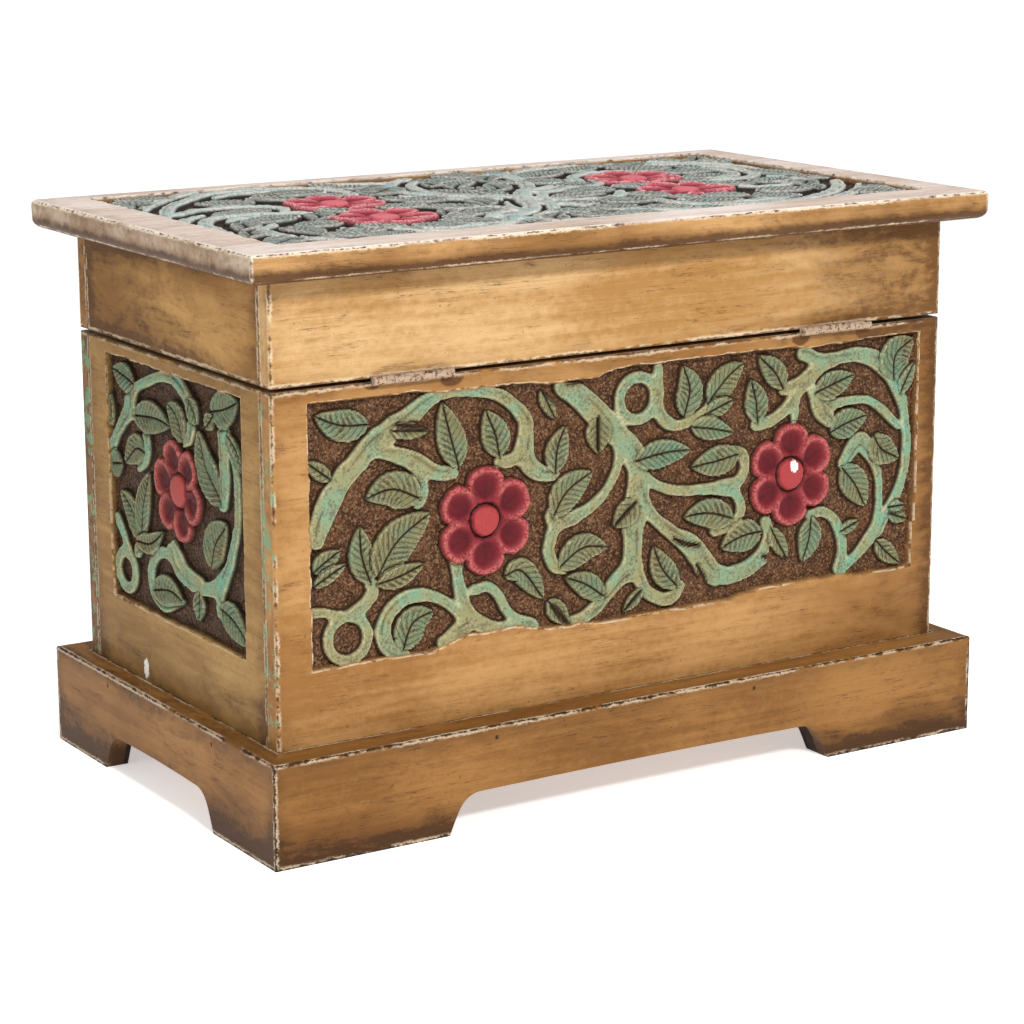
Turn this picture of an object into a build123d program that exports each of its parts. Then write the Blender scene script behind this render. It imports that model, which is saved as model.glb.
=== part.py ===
from build123d import *
import os

# A small carved wooden trunk. Four butt-jointed walls stand on a bottom board,
# and a plinth of four bracket-footed boards is nailed round their lower edge.
# The lid is a carved slab on a rim of four boards, hung on two butt hinges.
# The front looks along -Y, the hinges are at the back (+Y), and Z = 0 is the
# plane that the feet stand on, under the middle of the trunk.

# Driving dimensions, in millimetres: the body
body_length = 345.0
body_width = 185.0
wall_thickness = 9.2
body_top = 194.5
bottom_underside = 19.0
bottom_thickness = 6.0
wall_arris = 1.5

# The plinth
plinth_height = 45.0
plinth_side_thickness = 16.0
plinth_end_thickness = 10.6
plinth_arris = 1.2
side_arch_width = 201.0
end_arch_width = 108.0
end_arch_offset = -2.5
arch_height = 17.2
arch_crown = 0.6
foot_rake = 2.4
foot_rake_height = 5.5
cove_width = 16.0

# The lid
lid_rim_height = 44.1
lid_slab_thickness = 12.7
lid_side_overhang = 15.0
lid_end_overhang = 15.0
lid_top_round = 2.0
lid_under_round = 4.5
lid_corner_round = 1.0

# The sunk fields that the carving stands in, each as seen from outside
carving_depth = 3.5
wall_carving_bottom = 77.2
wall_carving_top = 188.2
side_carving_left = 155.3
side_carving_right = 160.6
end_carving_width = 130.2
lid_carving_right = 163.5
lid_carving_left = 169.0
lid_carving_front = 96.0
lid_carving_back = 85.0

# The carving left standing in them, its flowers a little proud of its scrolls
scroll_height = 2.7
flower_height = 3.1
scroll_width = 6.0
ring_outer_radius = 11.9
ring_inner_radius = 6.7
boss_radius = 6.6
petal_distance = 16.0
petal_radius = 7.6

# Its places, across and up each face as seen from outside; on the lid, along X and Y
side_carving = {
    "flowers": ((-71.0, 129.5), (90.0, 130.3)),
    "rings": ((-138.3, 88.0), (6.2, 173.8)),
    "scrolls": (
        ((-152, 131), (-141, 153), (-124, 170), (-100, 183), (-78, 186), (-59, 179), (-51, 162), (-40, 146)),
        ((-32, 183), (-16, 171), (-2, 156), (6, 142), (5, 124), (4, 102), (15, 84)),
        ((-112, 80), (-121, 88), (-113, 100), (-97, 100), (-82, 88), (-60, 80), (-30, 79), (3, 98)),
        ((17, 186), (17, 168), (28, 160), (43, 165), (47, 171)),
        ((7, 131), (18, 117), (34, 105), (47, 90), (66, 89), (76, 98)),
        ((96, 184), (127, 181), (145, 171), (155, 150), (155, 128), (147, 107), (133, 92), (119, 83)),
        ((62, 141), (50, 129), (25, 131), (5, 146)),
        ((112, 180), (97, 171), (85, 160), (70, 155)),
    ),
    "leaves": (
        ((-103, 143), (-129, 146), 15),
        ((-84, 154), (-92, 182), 13),
        ((-124, 112), (-98, 136), 17),
        ((-112, 80), (-97, 94), 14),
        ((-36, 146), (-31, 166), 11),
        ((-37, 127), (-17, 144), 14),
        ((-34, 104), (-9, 110), 13),
        ((31, 163), (30, 186), 13),
        ((44, 168), (63, 184), 13),
        ((61, 143), (35, 140), 13),
        ((58, 114), (31, 118), 13),
        ((112, 147), (133, 153), 13),
        ((119, 130), (133, 110), 14),
        ((102, 109), (97, 88), 12),
    ),
}
end_carving = {
    "flowers": ((1.8, 137.8),),
    "rings": ((-53.0, 91.6),),
    "scrolls": (
        ((-42, 174), (-25, 181), (0, 186), (15, 177), (14, 162)),
        ((-43, 172), (-51, 160), (-63, 147)),
        ((-7, 110), (6, 100), (26, 99), (43, 107), (55, 125), (59, 145), (54, 164), (46, 172)),
        ((-8, 108), (-23, 103), (-27, 92), (-14, 84), (4, 89)),
    ),
    "leaves": (
        ((-40, 164), (-4, 166), 14),
        ((-37, 109), (-26, 141), 13),
        ((-38, 108), (-57, 127), 12),
        ((44, 140), (23, 168), 17),
        ((32, 110), (48, 132), 17),
        ((40, 94), (62, 85), 14),
    ),
}
lid_carving = {
    "flowers": ((76.5, -27.5), (81.0, 25.0), (-88.0, -33.0), (-83.0, 17.0)),
    "rings": (),
    "scrolls": (
        ((162, -20), (150, -45), (125, -75), (95, -91), (65, -86), (52, -62), (55, -46)),
        ((162, 40), (158, 10), (150, -5), (140, -12), (125, -13), (106, -4)),
        ((95, 62), (75, 79), (45, 70), (20, 45), (2, 15), (-8, -8), (-30, -35), (-60, -52)),
        ((-110, -85), (-135, -70), (-149, -50), (-150, -25), (-125, -3)),
        ((-150, 60), (-135, 40), (-112, 22)),
    ),
    "leaves": (
        ((60, -68), (98, -68), 15),
        ((108, -48), (126, -58), 16),
        ((118, 52), (100, 70), 14),
        ((142, 58), (162, 76), 14),
        ((32, -62), (44, -46), 17),
        ((-74, -66), (-46, -74), 14),
        ((-56, -38), (-34, -50), 13),
        ((-115, -55), (-135, -35), 14),
        ((-85, 52), (-55, 66), 14),
    ),
}

# The hinges
hinge_length = 38.0
right_hinge_inset = 64.9
left_hinge_inset = 61.3
knuckle_count = 4
knuckle_gap = 0.3
barrel_radius = 1.9
barrel_clearance = 0.2
knuckle_clearance = 0.25
pin_radius = 0.9
pin_clearance = 0.05
leaf_thickness = 1.0
leaf_reach = 8.0
leaf_fit = 0.1

# Their screws
screw_spacing = 22.0
screw_inset = 5.4
screw_head_radius = 2.2
screw_head_height = 0.7
screw_shank_radius = 1.2
screw_shank_sides = 8
screw_length = 9.0
screw_slot_width = 0.6
screw_slot_depth = 0.4
screw_clearance = 0.05

# The brads, of oblong section and punched in until they lie under the surface
brad_width = 1.6
brad_thickness = 1.4
brad_clearance = 0.05
brad_set = 0.6
wall_brad_length = 22.0
wall_brad_low = 36.0
wall_brad_high = 24.0
rim_brad_inset = 11.0
side_plinth_brad_length = 22.0
end_plinth_brad_length = 16.0
plinth_brad_drop = 5.4
side_plinth_brad_places = (77.0, -58.0)
end_plinth_brad_places = (52.0, -52.0)
bottom_brad_length = 20.0
bottom_brad_spacing = 120.0

# Places worked out from them
half_length = body_length / 2
half_width = body_width / 2
walls_bottom = bottom_underside + bottom_thickness
end_board_width = body_width - 2 * wall_thickness
plinth_half_length = half_length + plinth_end_thickness
plinth_half_width = half_width + plinth_side_thickness
lid_gap = 2 * (barrel_radius - leaf_thickness)
rim_bottom = body_top + lid_gap
rim_top = rim_bottom + lid_rim_height
lid_top = rim_top + lid_slab_thickness
hinge_axis_y = half_width + barrel_radius + barrel_clearance
hinge_axis_z = body_top + lid_gap / 2
knuckle_length = (hinge_length - (knuckle_count - 1) * knuckle_gap) / knuckle_count
hinges = {"right": half_length - right_hinge_inset, "left": left_hinge_inset - half_length}

os.makedirs("parts", exist_ok=True)


def write(piece, name):
    piece.label = name
    export_step(piece, f"parts/{name}.step")


# Planes on the outside of the trunk: local X runs to the right of someone who
# looks at that face, local Y is up, and the plane's normal points at them.
def side_face(side, distance=half_width):
    return Plane(origin=(0, side * distance, 0), x_dir=(-side, 0, 0), z_dir=(0, side, 0))


def end_face(side, distance=half_length):
    return Plane(origin=(side * distance, 0, 0), x_dir=(0, side, 0), z_dir=(side, 0, 0))


# A brad is a plane that its outer end lies on, with the shank along the normal.
def brad(surface_point, inward):
    head = Vector(*surface_point) + Vector(*inward) * brad_set
    return Plane(origin=head, z_dir=inward)


def drive(brads, length):
    for place in brads:
        with BuildSketch(place) as section:
            Rectangle(brad_width, brad_thickness)
        extrude(section.sketch, amount=length)


def bore_for(brads, length, mouth=0.0):
    """Clearance holes for brads, carried out to the surface where mouth is the depth they are set to."""
    for place in brads:
        with BuildSketch(place.offset(-mouth)) as section:
            Rectangle(brad_width + 2 * brad_clearance, brad_thickness + 2 * brad_clearance)
        extrude(section.sketch, amount=length + mouth + brad_clearance, mode=Mode.SUBTRACT)


def corner_brads(heights):
    """Through the faces of the long boards into the ends of the short ones."""
    x = half_length - wall_thickness / 2
    return [
        brad((end * x, side * half_width, height), (0, -side, 0))
        for end in (1, -1)
        for side in (1, -1)
        for height in heights
    ]


wall_brads = corner_brads([walls_bottom + wall_brad_low, body_top - wall_brad_high])
rim_brads = corner_brads([rim_bottom + rim_brad_inset, rim_top - rim_brad_inset])
plinth_brad_height = plinth_height - plinth_brad_drop
side_plinth_brads = [
    brad((x, side * plinth_half_width, plinth_brad_height), (0, -side, 0))
    for side in (1, -1)
    for x in side_plinth_brad_places
]
end_plinth_brads = [
    brad((end * plinth_half_length, y, plinth_brad_height), (-end, 0, 0))
    for end in (1, -1)
    for y in end_plinth_brad_places
]
bottom_brads = [
    brad((x, side * (half_width - wall_thickness / 2), bottom_underside), (0, 0, 1))
    for side in (1, -1)
    for x in (-bottom_brad_spacing, 0, bottom_brad_spacing)
]


def screw_places():
    """The screws of both hinges, on the centre lines of their leaves."""
    y = half_width - screw_inset
    return {
        hand: [(centre + step * screw_spacing / 2, y) for step in (-1, 1)]
        for hand, centre in hinges.items()
    }


def let_in_hinges(edge_height, into):
    """Mortises that take the leaves flush, and pilot holes for their screws, in the edge of a back board."""
    edge = Plane(origin=(0, 0, edge_height), x_dir=(1, 0, 0), z_dir=(0, 0, into))
    reach = leaf_reach + leaf_fit
    with BuildSketch(edge) as mortises:
        for centre in hinges.values():
            with Locations((centre, into * (half_width - reach / 2))):
                Rectangle(hinge_length + 2 * leaf_fit, reach)
    extrude(mortises.sketch, amount=leaf_thickness, mode=Mode.SUBTRACT)
    with BuildSketch(edge) as pilots:
        for places in screw_places().values():
            with Locations([(x, into * y) for x, y in places]):
                RegularPolygon(screw_shank_radius + screw_clearance, screw_shank_sides)
    extrude(pilots.sketch, amount=screw_length + screw_clearance, mode=Mode.SUBTRACT)


def ribbon(points):
    """A scroll of even width along a line of points."""
    line = [Vector(*point) for point in points]
    ahead = [after - before for before, after in zip(line, line[1:])]
    turned = [ahead[0]] + [a.normalized() + b.normalized() for a, b in zip(ahead, ahead[1:])] + [ahead[-1]]
    across = [Vector(-way.Y, way.X).normalized() * (scroll_width / 2) for way in turned]
    left = [point + step for point, step in zip(line, across)]
    right = [point - step for point, step in zip(line, across)]
    Polygon(*[(point.X, point.Y) for point in left + right[::-1]], align=None)


def carved_leaf(base, tip, width):
    """A leaf from its stalk to its tip, widest two fifths of the way along."""
    stalk = Vector(*base)
    along = Vector(*tip) - stalk
    across = Vector(-along.Y, along.X).normalized() * (width / 2)
    widest = stalk + along * 0.4
    outline = (stalk, widest + across, stalk + along, widest - across)
    Polygon(*[(point.X, point.Y) for point in outline], align=None)


def raise_carving(face, carving):
    """Leaves a face's main carved forms standing on the floor of its sunk field."""
    floor = face.offset(-carving_depth)
    with BuildSketch(floor) as scrolls:
        if carving["rings"]:
            with Locations(carving["rings"]):
                RegularPolygon(ring_outer_radius, 8)
                RegularPolygon(ring_inner_radius, 8, mode=Mode.SUBTRACT)
        for points in carving["scrolls"]:
            ribbon(points)
        for base, tip, width in carving["leaves"]:
            carved_leaf(base, tip, width)
    extrude(scrolls.sketch, amount=scroll_height)
    with BuildSketch(floor) as flowers:
        for centre in carving["flowers"]:
            with Locations(centre):
                RegularPolygon(boss_radius, 6)
                with PolarLocations(petal_distance, 6, start_angle=90):
                    RegularPolygon(petal_radius, 6)
    extrude(flowers.sketch, amount=flower_height)


# The walls: the long boards run the full length and cover the ends of the short ones
for side, name in ((1, "back_board"), (-1, "front_board")):
    with BuildPart() as long_board:
        with BuildSketch(side_face(side)):
            with Locations((0, (walls_bottom + body_top) / 2)):
                Rectangle(body_length, body_top - walls_bottom)
        extrude(amount=-wall_thickness)
        outer_corners = long_board.edges().filter_by(Axis.Z).group_by(Axis.Y)[-1 if side > 0 else 0]
        fillet(outer_corners, wall_arris)
        with BuildSketch(side_face(side)):
            middle = (side_carving_right - side_carving_left) / 2
            with Locations((middle, (wall_carving_bottom + wall_carving_top) / 2)):
                Rectangle(side_carving_left + side_carving_right, wall_carving_top - wall_carving_bottom)
        extrude(amount=-carving_depth, mode=Mode.SUBTRACT)
        raise_carving(side_face(side), side_carving)
        if side > 0:
            let_in_hinges(body_top, -1)
        bore_for([place for place in wall_brads if place.origin.Y * side > 0], wall_brad_length)
        bore_for(
            [place for place in side_plinth_brads if place.origin.Y * side > 0], side_plinth_brad_length
        )
        bore_for([place for place in bottom_brads if place.origin.Y * side > 0], bottom_brad_length)
    write(long_board.part, name)

for end, name in ((1, "right_end_board"), (-1, "left_end_board")):
    with BuildPart() as end_board:
        with BuildSketch(end_face(end)):
            with Locations((0, (walls_bottom + body_top) / 2)):
                Rectangle(end_board_width, body_top - walls_bottom)
        extrude(amount=-wall_thickness)
        with BuildSketch(end_face(end)):
            with Locations((0, (wall_carving_bottom + wall_carving_top) / 2)):
                Rectangle(end_carving_width, wall_carving_top - wall_carving_bottom)
        extrude(amount=-carving_depth, mode=Mode.SUBTRACT)
        raise_carving(end_face(end), end_carving)
        bore_for([place for place in wall_brads if place.origin.X * end > 0], wall_brad_length)
        bore_for([place for place in end_plinth_brads if place.origin.X * end > 0], end_plinth_brad_length)
    write(end_board.part, name)

# The bottom board, which the walls stand on and the plinth goes round
with BuildPart() as bottom_board:
    with BuildSketch(Plane.XY.offset(bottom_underside)):
        Rectangle(body_length, body_width)
    extrude(amount=bottom_thickness)
    bore_for(bottom_brads, bottom_brad_length, mouth=brad_set)
write(bottom_board.part, "bottom_board")


def arch(width, offset):
    """The opening between two bracket feet: raked foot edges, coves, and a top with a slight crown."""
    foot = width / 2
    rake_end = (foot - foot_rake, foot_rake_height)
    cove_end = (foot - cove_width, arch_height)
    with BuildSketch() as opening:
        with BuildLine():
            for hand in (1, -1):
                Line((hand * foot, 0), (hand * rake_end[0], rake_end[1]))
                Spline(
                    (hand * rake_end[0], rake_end[1]),
                    (hand * cove_end[0], cove_end[1]),
                    tangents=((-hand * foot_rake, foot_rake_height), (-hand, 0)),
                )
            ThreePointArc(
                (-cove_end[0], cove_end[1]), (0, arch_height + arch_crown), (cove_end[0], cove_end[1])
            )
            Line((-foot, 0), (foot, 0))
        make_face()
    return opening.sketch.moved(Location((offset, 0, 0)))


def plinth_board(facing, corners, thickness, opening, brads, brad_length):
    """A board that is mitred from the body's corners to the plinth's, with an arch cut through it."""
    with BuildPart() as board:
        with BuildSketch(Plane.XY):
            Polygon(*corners, align=None)
        extrude(amount=plinth_height)
        top_edges = board.edges().group_by(Axis.Z)[-1]
        fillet(top_edges.sort_by(Axis((0, 0, 0), facing.z_dir))[-1], plinth_arris)
        with BuildSketch(facing):
            add(opening)
        extrude(amount=-thickness, mode=Mode.SUBTRACT)
        bore_for(brads, brad_length, mouth=brad_set)
    return board.part


# The plinth, flush with the feet at the floor and standing out from the walls as a ledge
side_opening = arch(side_arch_width, 0)
end_opening = arch(end_arch_width, end_arch_offset)
for side, name in ((1, "plinth_back"), (-1, "plinth_front")):
    corners = [
        (-plinth_half_length, side * plinth_half_width),
        (plinth_half_length, side * plinth_half_width),
        (half_length, side * half_width),
        (-half_length, side * half_width),
    ]
    brads = [place for place in side_plinth_brads if place.origin.Y * side > 0]
    facing = side_face(side, plinth_half_width)
    write(
        plinth_board(facing, corners, plinth_side_thickness, side_opening, brads, side_plinth_brad_length),
        name,
    )

for end, name in ((1, "plinth_right"), (-1, "plinth_left")):
    corners = [
        (end * plinth_half_length, -plinth_half_width),
        (end * plinth_half_length, plinth_half_width),
        (end * half_length, half_width),
        (end * half_length, -half_width),
    ]
    brads = [place for place in end_plinth_brads if place.origin.X * end > 0]
    facing = end_face(end, plinth_half_length)
    write(
        plinth_board(facing, corners, plinth_end_thickness, end_opening, brads, end_plinth_brad_length),
        name,
    )

# The lid's rim, jointed like the walls and in line with them
for side, name in ((1, "lid_rim_back"), (-1, "lid_rim_front")):
    with BuildPart() as long_rim:
        with BuildSketch(side_face(side)):
            with Locations((0, (rim_bottom + rim_top) / 2)):
                Rectangle(body_length, lid_rim_height)
        extrude(amount=-wall_thickness)
        outer_corners = long_rim.edges().filter_by(Axis.Z).group_by(Axis.Y)[-1 if side > 0 else 0]
        fillet(outer_corners, wall_arris)
        if side > 0:
            let_in_hinges(rim_bottom, 1)
        bore_for([place for place in rim_brads if place.origin.Y * side > 0], wall_brad_length)
    write(long_rim.part, name)

for end, name in ((1, "lid_rim_right"), (-1, "lid_rim_left")):
    with BuildPart() as end_rim:
        with BuildSketch(end_face(end)):
            with Locations((0, (rim_bottom + rim_top) / 2)):
                Rectangle(end_board_width, lid_rim_height)
        extrude(amount=-wall_thickness)
        bore_for([place for place in rim_brads if place.origin.X * end > 0], wall_brad_length)
    write(end_rim.part, name)

# The lid's slab, with its edge rounded under more than over, and its field sunk in the top
with BuildPart() as lid_slab:
    with BuildSketch(Plane.XY.offset(rim_top)):
        Rectangle(body_length + 2 * lid_end_overhang, body_width + 2 * lid_side_overhang)
    extrude(amount=lid_slab_thickness)
    fillet(lid_slab.edges().filter_by(Axis.Z), lid_corner_round)
    fillet(lid_slab.edges().group_by(Axis.Z)[0], lid_under_round)
    fillet(lid_slab.edges().group_by(Axis.Z)[-1], lid_top_round)
    with BuildSketch(Plane.XY.offset(lid_top)):
        middle = (
            (lid_carving_right - lid_carving_left) / 2,
            (lid_carving_back - lid_carving_front) / 2,
        )
        with Locations(middle):
            Rectangle(lid_carving_left + lid_carving_right, lid_carving_front + lid_carving_back)
    extrude(amount=-carving_depth, mode=Mode.SUBTRACT)
    raise_carving(Plane.XY.offset(lid_top), lid_carving)
write(lid_slab.part, "lid_slab")

# The hinges: each leaf has every other knuckle, and the chest's leaves keep the pins
leaves = (("chest", -1, 0, body_top), ("lid", 1, 1, rim_bottom))
for hand, centre in hinges.items():
    start = centre - hinge_length / 2
    for body, into, first_knuckle, edge_height in leaves:
        leaf_root = hinge_axis_y - barrel_radius - knuckle_clearance
        leaf_inner = half_width - leaf_reach
        leaf_height = edge_height + into * leaf_thickness / 2
        with BuildPart() as leaf:
            with BuildSketch(Plane.YZ.offset(start)):
                with Locations(((leaf_inner + leaf_root) / 2, leaf_height)):
                    Rectangle(leaf_root - leaf_inner, leaf_thickness)
            extrude(amount=hinge_length)
            for knuckle in range(first_knuckle, knuckle_count, 2):
                with BuildSketch(Plane.YZ.offset(start + knuckle * (knuckle_length + knuckle_gap))):
                    with Locations(((leaf_inner + hinge_axis_y) / 2, leaf_height)):
                        Rectangle(hinge_axis_y - leaf_inner, leaf_thickness)
                    with Locations((hinge_axis_y, hinge_axis_z)):
                        Circle(barrel_radius)
                extrude(amount=knuckle_length)
            with BuildSketch(Plane.YZ.offset(start)):
                with Locations((hinge_axis_y, hinge_axis_z)):
                    Circle(pin_radius + pin_clearance)
            extrude(amount=hinge_length, mode=Mode.SUBTRACT)
            with BuildSketch(Plane(origin=(0, 0, edge_height), x_dir=(1, 0, 0), z_dir=(0, 0, into))):
                with Locations([(x, into * y) for x, y in screw_places()[hand]]):
                    RegularPolygon(screw_shank_radius + screw_clearance, screw_shank_sides)
            extrude(amount=leaf_thickness, mode=Mode.SUBTRACT)
        write(leaf.part, f"hinge_{hand}_{body}_leaf")

        # Pan heads lie in the gap under the lid, with their slots along the trunk
        gap_face = Plane(origin=(0, 0, edge_height), x_dir=(1, 0, 0), z_dir=(0, 0, -into))
        places = [(x, -into * y) for x, y in screw_places()[hand]]
        with BuildPart() as screws:
            with BuildSketch(gap_face):
                with Locations(places):
                    Circle(screw_head_radius)
            extrude(amount=screw_head_height)
            with BuildSketch(gap_face):
                with Locations(places):
                    RegularPolygon(screw_shank_radius, screw_shank_sides)
            extrude(amount=-screw_length)
            with BuildSketch(gap_face.offset(screw_head_height)):
                with Locations(places):
                    Rectangle(2 * screw_head_radius, screw_slot_width)
            extrude(amount=-screw_slot_depth, mode=Mode.SUBTRACT)
        write(screws.part, f"hinge_{hand}_{body}_screws")

    with BuildPart() as pin:
        with BuildSketch(Plane.YZ.offset(start)):
            with Locations((hinge_axis_y, hinge_axis_z)):
                Circle(pin_radius)
        extrude(amount=hinge_length)
    write(pin.part, f"hinge_{hand}_pin")

# The brads, one group to each joint that they hold
brad_groups = {
    "wall_brads": (wall_brads, wall_brad_length),
    "rim_brads": (rim_brads, wall_brad_length),
    "plinth_side_brads": (side_plinth_brads, side_plinth_brad_length),
    "plinth_end_brads": (end_plinth_brads, end_plinth_brad_length),
    "bottom_brads": (bottom_brads, bottom_brad_length),
}
for name, (places, length) in brad_groups.items():
    with BuildPart() as brads:
        drive(places, length)
    write(brads.part, name)
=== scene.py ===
from math import cos, pi, sin

import bpy
import numpy as np
from mathutils import Matrix, Vector


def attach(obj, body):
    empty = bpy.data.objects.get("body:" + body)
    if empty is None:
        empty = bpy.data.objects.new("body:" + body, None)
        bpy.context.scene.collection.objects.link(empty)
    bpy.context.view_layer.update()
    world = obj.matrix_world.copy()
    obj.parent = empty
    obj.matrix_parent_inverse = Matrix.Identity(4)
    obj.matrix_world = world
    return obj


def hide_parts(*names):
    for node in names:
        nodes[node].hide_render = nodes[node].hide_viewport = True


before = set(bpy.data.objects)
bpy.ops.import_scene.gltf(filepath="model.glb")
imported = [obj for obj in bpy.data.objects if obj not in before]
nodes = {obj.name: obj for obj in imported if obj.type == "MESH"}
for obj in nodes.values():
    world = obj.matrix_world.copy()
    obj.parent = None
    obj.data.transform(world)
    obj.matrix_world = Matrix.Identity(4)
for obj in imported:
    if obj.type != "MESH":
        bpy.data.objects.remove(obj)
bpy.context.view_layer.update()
mm = 0.001


# Heights of the carved forms above the sunk ground, the web where stems fork, and the leaf veins' spacing
carving = {
    "stalkTop": 2.6, "leafTop": 2.15, "petalTop": 2.3, "bossTop": 2.35, "flowerMiddle": 1.1, "slitFloor": 0.5,
    "join": 3.2, "veinSpacing": 3.1, "veinSlant": 3.4,
}


def smooth(x):
    x = np.clip(x, 0, 1)
    return x * x * (3 - 2 * x)


# Random heights on a square lattice, size mm apart, joined smoothly
def wander(u, v, size, seed):
    table = np.random.default_rng(seed).random((97, 97)) * 2 - 1
    x, y = u / size + 41.3, v / size + 17.7
    x0, y0 = np.floor(x).astype(int), np.floor(y).astype(int)
    fx, fy = smooth(x - x0), smooth(y - y0)
    low = table[x0 % 97, y0 % 97] * (1 - fx) + table[(x0 + 1) % 97, y0 % 97] * fx
    high = table[x0 % 97, (y0 + 1) % 97] * (1 - fx) + table[(x0 + 1) % 97, (y0 + 1) % 97] * fx
    return low * (1 - fy) + high * fy


# A smooth line (Catmull-Rom) through given points of x, y and width, with the share of its length as a fourth
# column, and that length
def threaded(points, steps=6):
    p = np.array(points, float)
    p = np.vstack([2 * p[0] - p[1], p, 2 * p[-1] - p[-2]])
    t = np.linspace(0, 1, steps, endpoint=False)[:, None]
    parts = [
        0.5 * (2 * b + (c - a) * t + (2 * a - 5 * b + 4 * c - d) * t**2 + (3 * b - a - 3 * c + d) * t**3)
        for a, b, c, d in zip(p, p[1:], p[2:], p[3:])
    ]
    line = np.vstack(parts + [p[-2:-1]])
    length = np.concatenate([[0], np.cumsum(np.hypot(*np.diff(line[:, :2], axis=0).T))])
    return np.column_stack([line, length / length[-1]]), length[-1]


# The part of a panel's grid within reach of a box
def windowOf(panel, low, high, reach=3.0):
    i0, i1 = np.searchsorted(panel["uLines"], [low[0] - reach, high[0] + reach])
    j0, j1 = np.searchsorted(panel["vLines"], [low[1] - reach, high[1] + reach])
    return slice(i0, i1), slice(j0, j1)


# For each grid point the nearest place on a line: distance to its side, width there, share of the length
def besideLine(u, v, line):
    best = np.full(u.shape, 1e9)
    side, width, share = np.zeros(u.shape), np.zeros(u.shape), np.zeros(u.shape)
    for a, b in zip(line[:-1], line[1:]):
        dx, dy = b[0] - a[0], b[1] - a[1]
        t = np.clip(((u - a[0]) * dx + (v - a[1]) * dy) / max(dx * dx + dy * dy, 1e-9), 0, 1)
        px, py = u - a[0] - t * dx, v - a[1] - t * dy
        reach = np.hypot(px, py)
        near = reach < best
        best = np.where(near, reach, best)
        side = np.where(near, np.sign(dx * py - dy * px) * reach, side)
        width = np.where(near, a[2] + (b[2] - a[2]) * t, width)
        share = np.where(near, a[3] + (b[3] - a[3]) * t, share)
    return side, width, share


# Lays one carved form over what is already there: inside is the distance in from its outline
def layOver(panel, window, inside, top, **paint):
    cover = smooth(inside / 0.75 + 0.5)
    cut = np.exp(-(((inside + 0.7) / 0.5) ** 2))
    height = panel["height"][window]
    panel["height"][window] = height * (1 - 0.5 * cut) * (1 - cover) + cover * top
    for name in panel["masks"]:
        value = paint.get(name, 0.0)
        panel["masks"][name][window] = panel["masks"][name][window] * (1 - cover) + cover * value


# Stems and rings gather into one outline first, so that they fork with webs as carved ones do
def addStalk(panel, window, inside, tone, scored):
    stalks = panel["stalks"]
    before = stalks["inside"][window]
    nearer = inside > before
    join = carving["join"]
    web = np.clip(join - np.abs(before - inside), 0, None) ** 2 / (4 * join)
    stalks["inside"][window] = np.maximum(before, inside) + web
    stalks["tone"][window] = np.where(nearer, tone, stalks["tone"][window])
    stalks["scored"][window] = np.where(nearer, scored, stalks["scored"][window] * (inside < 0.6))


def carveStem(panel, points, tone):
    line = threaded(points)[0]
    pad = max(p[2] for p in points) / 2
    window = windowOf(panel, line[:, :2].min(0) - pad, line[:, :2].max(0) + pad, 5.0)
    u, v = panel["u"][window], panel["v"][window]
    side, width = besideLine(u, v, line)[:2]
    half = width / 2 * (1.16 + 0.12 * wander(u, v, 5.0, 3)) + 0.25
    # a line scored along the wider stretches
    scored = np.exp(-(((side - 0.3 * half) / 0.45) ** 2)) * smooth((half - 2.6) / 1.0)
    scored = scored * smooth(wander(u, v, 9.0, 14) * 2 + 0.9)
    addStalk(panel, window, half - np.abs(side), tone, scored)


def carveRing(panel, x, y, inner, outer, squash, tone):
    window = windowOf(panel, (x - outer, y - outer), (x + outer, y + outer), 5.0)
    u, v = panel["u"][window] - x, panel["v"][window] - y
    r = np.hypot(u, v)
    middle, half = (inner + outer) / 2, (outer - inner) / 2
    side = r - middle - squash * np.abs(v) / np.maximum(r, 1)
    addStalk(panel, window, half - np.abs(side), tone, 0 * u)


# Low bands with the facets of the gouge, crisp at their shoulders
def raiseStalks(panel):
    stalks = panel["stalks"]
    u, v, inside = panel["u"], panel["v"], stalks["inside"]
    facets = 0.24 * wander(u, v, 2.4, 11) + 0.22 * wander(u, v, 6.0, 12)
    top = carving["stalkTop"] + 0.45 * smooth(inside / carving["join"]) + facets
    top = top - 0.6 * stalks["scored"]
    rim = np.exp(-(((inside - 0.6) / 0.5) ** 2))
    layOver(
        panel, (slice(None), slice(None)), inside, top,
        green=1, tone=stalks["tone"], crest=rim * 0.8 + 0.22, vein=stalks["scored"] * 0.85,
    )


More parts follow.
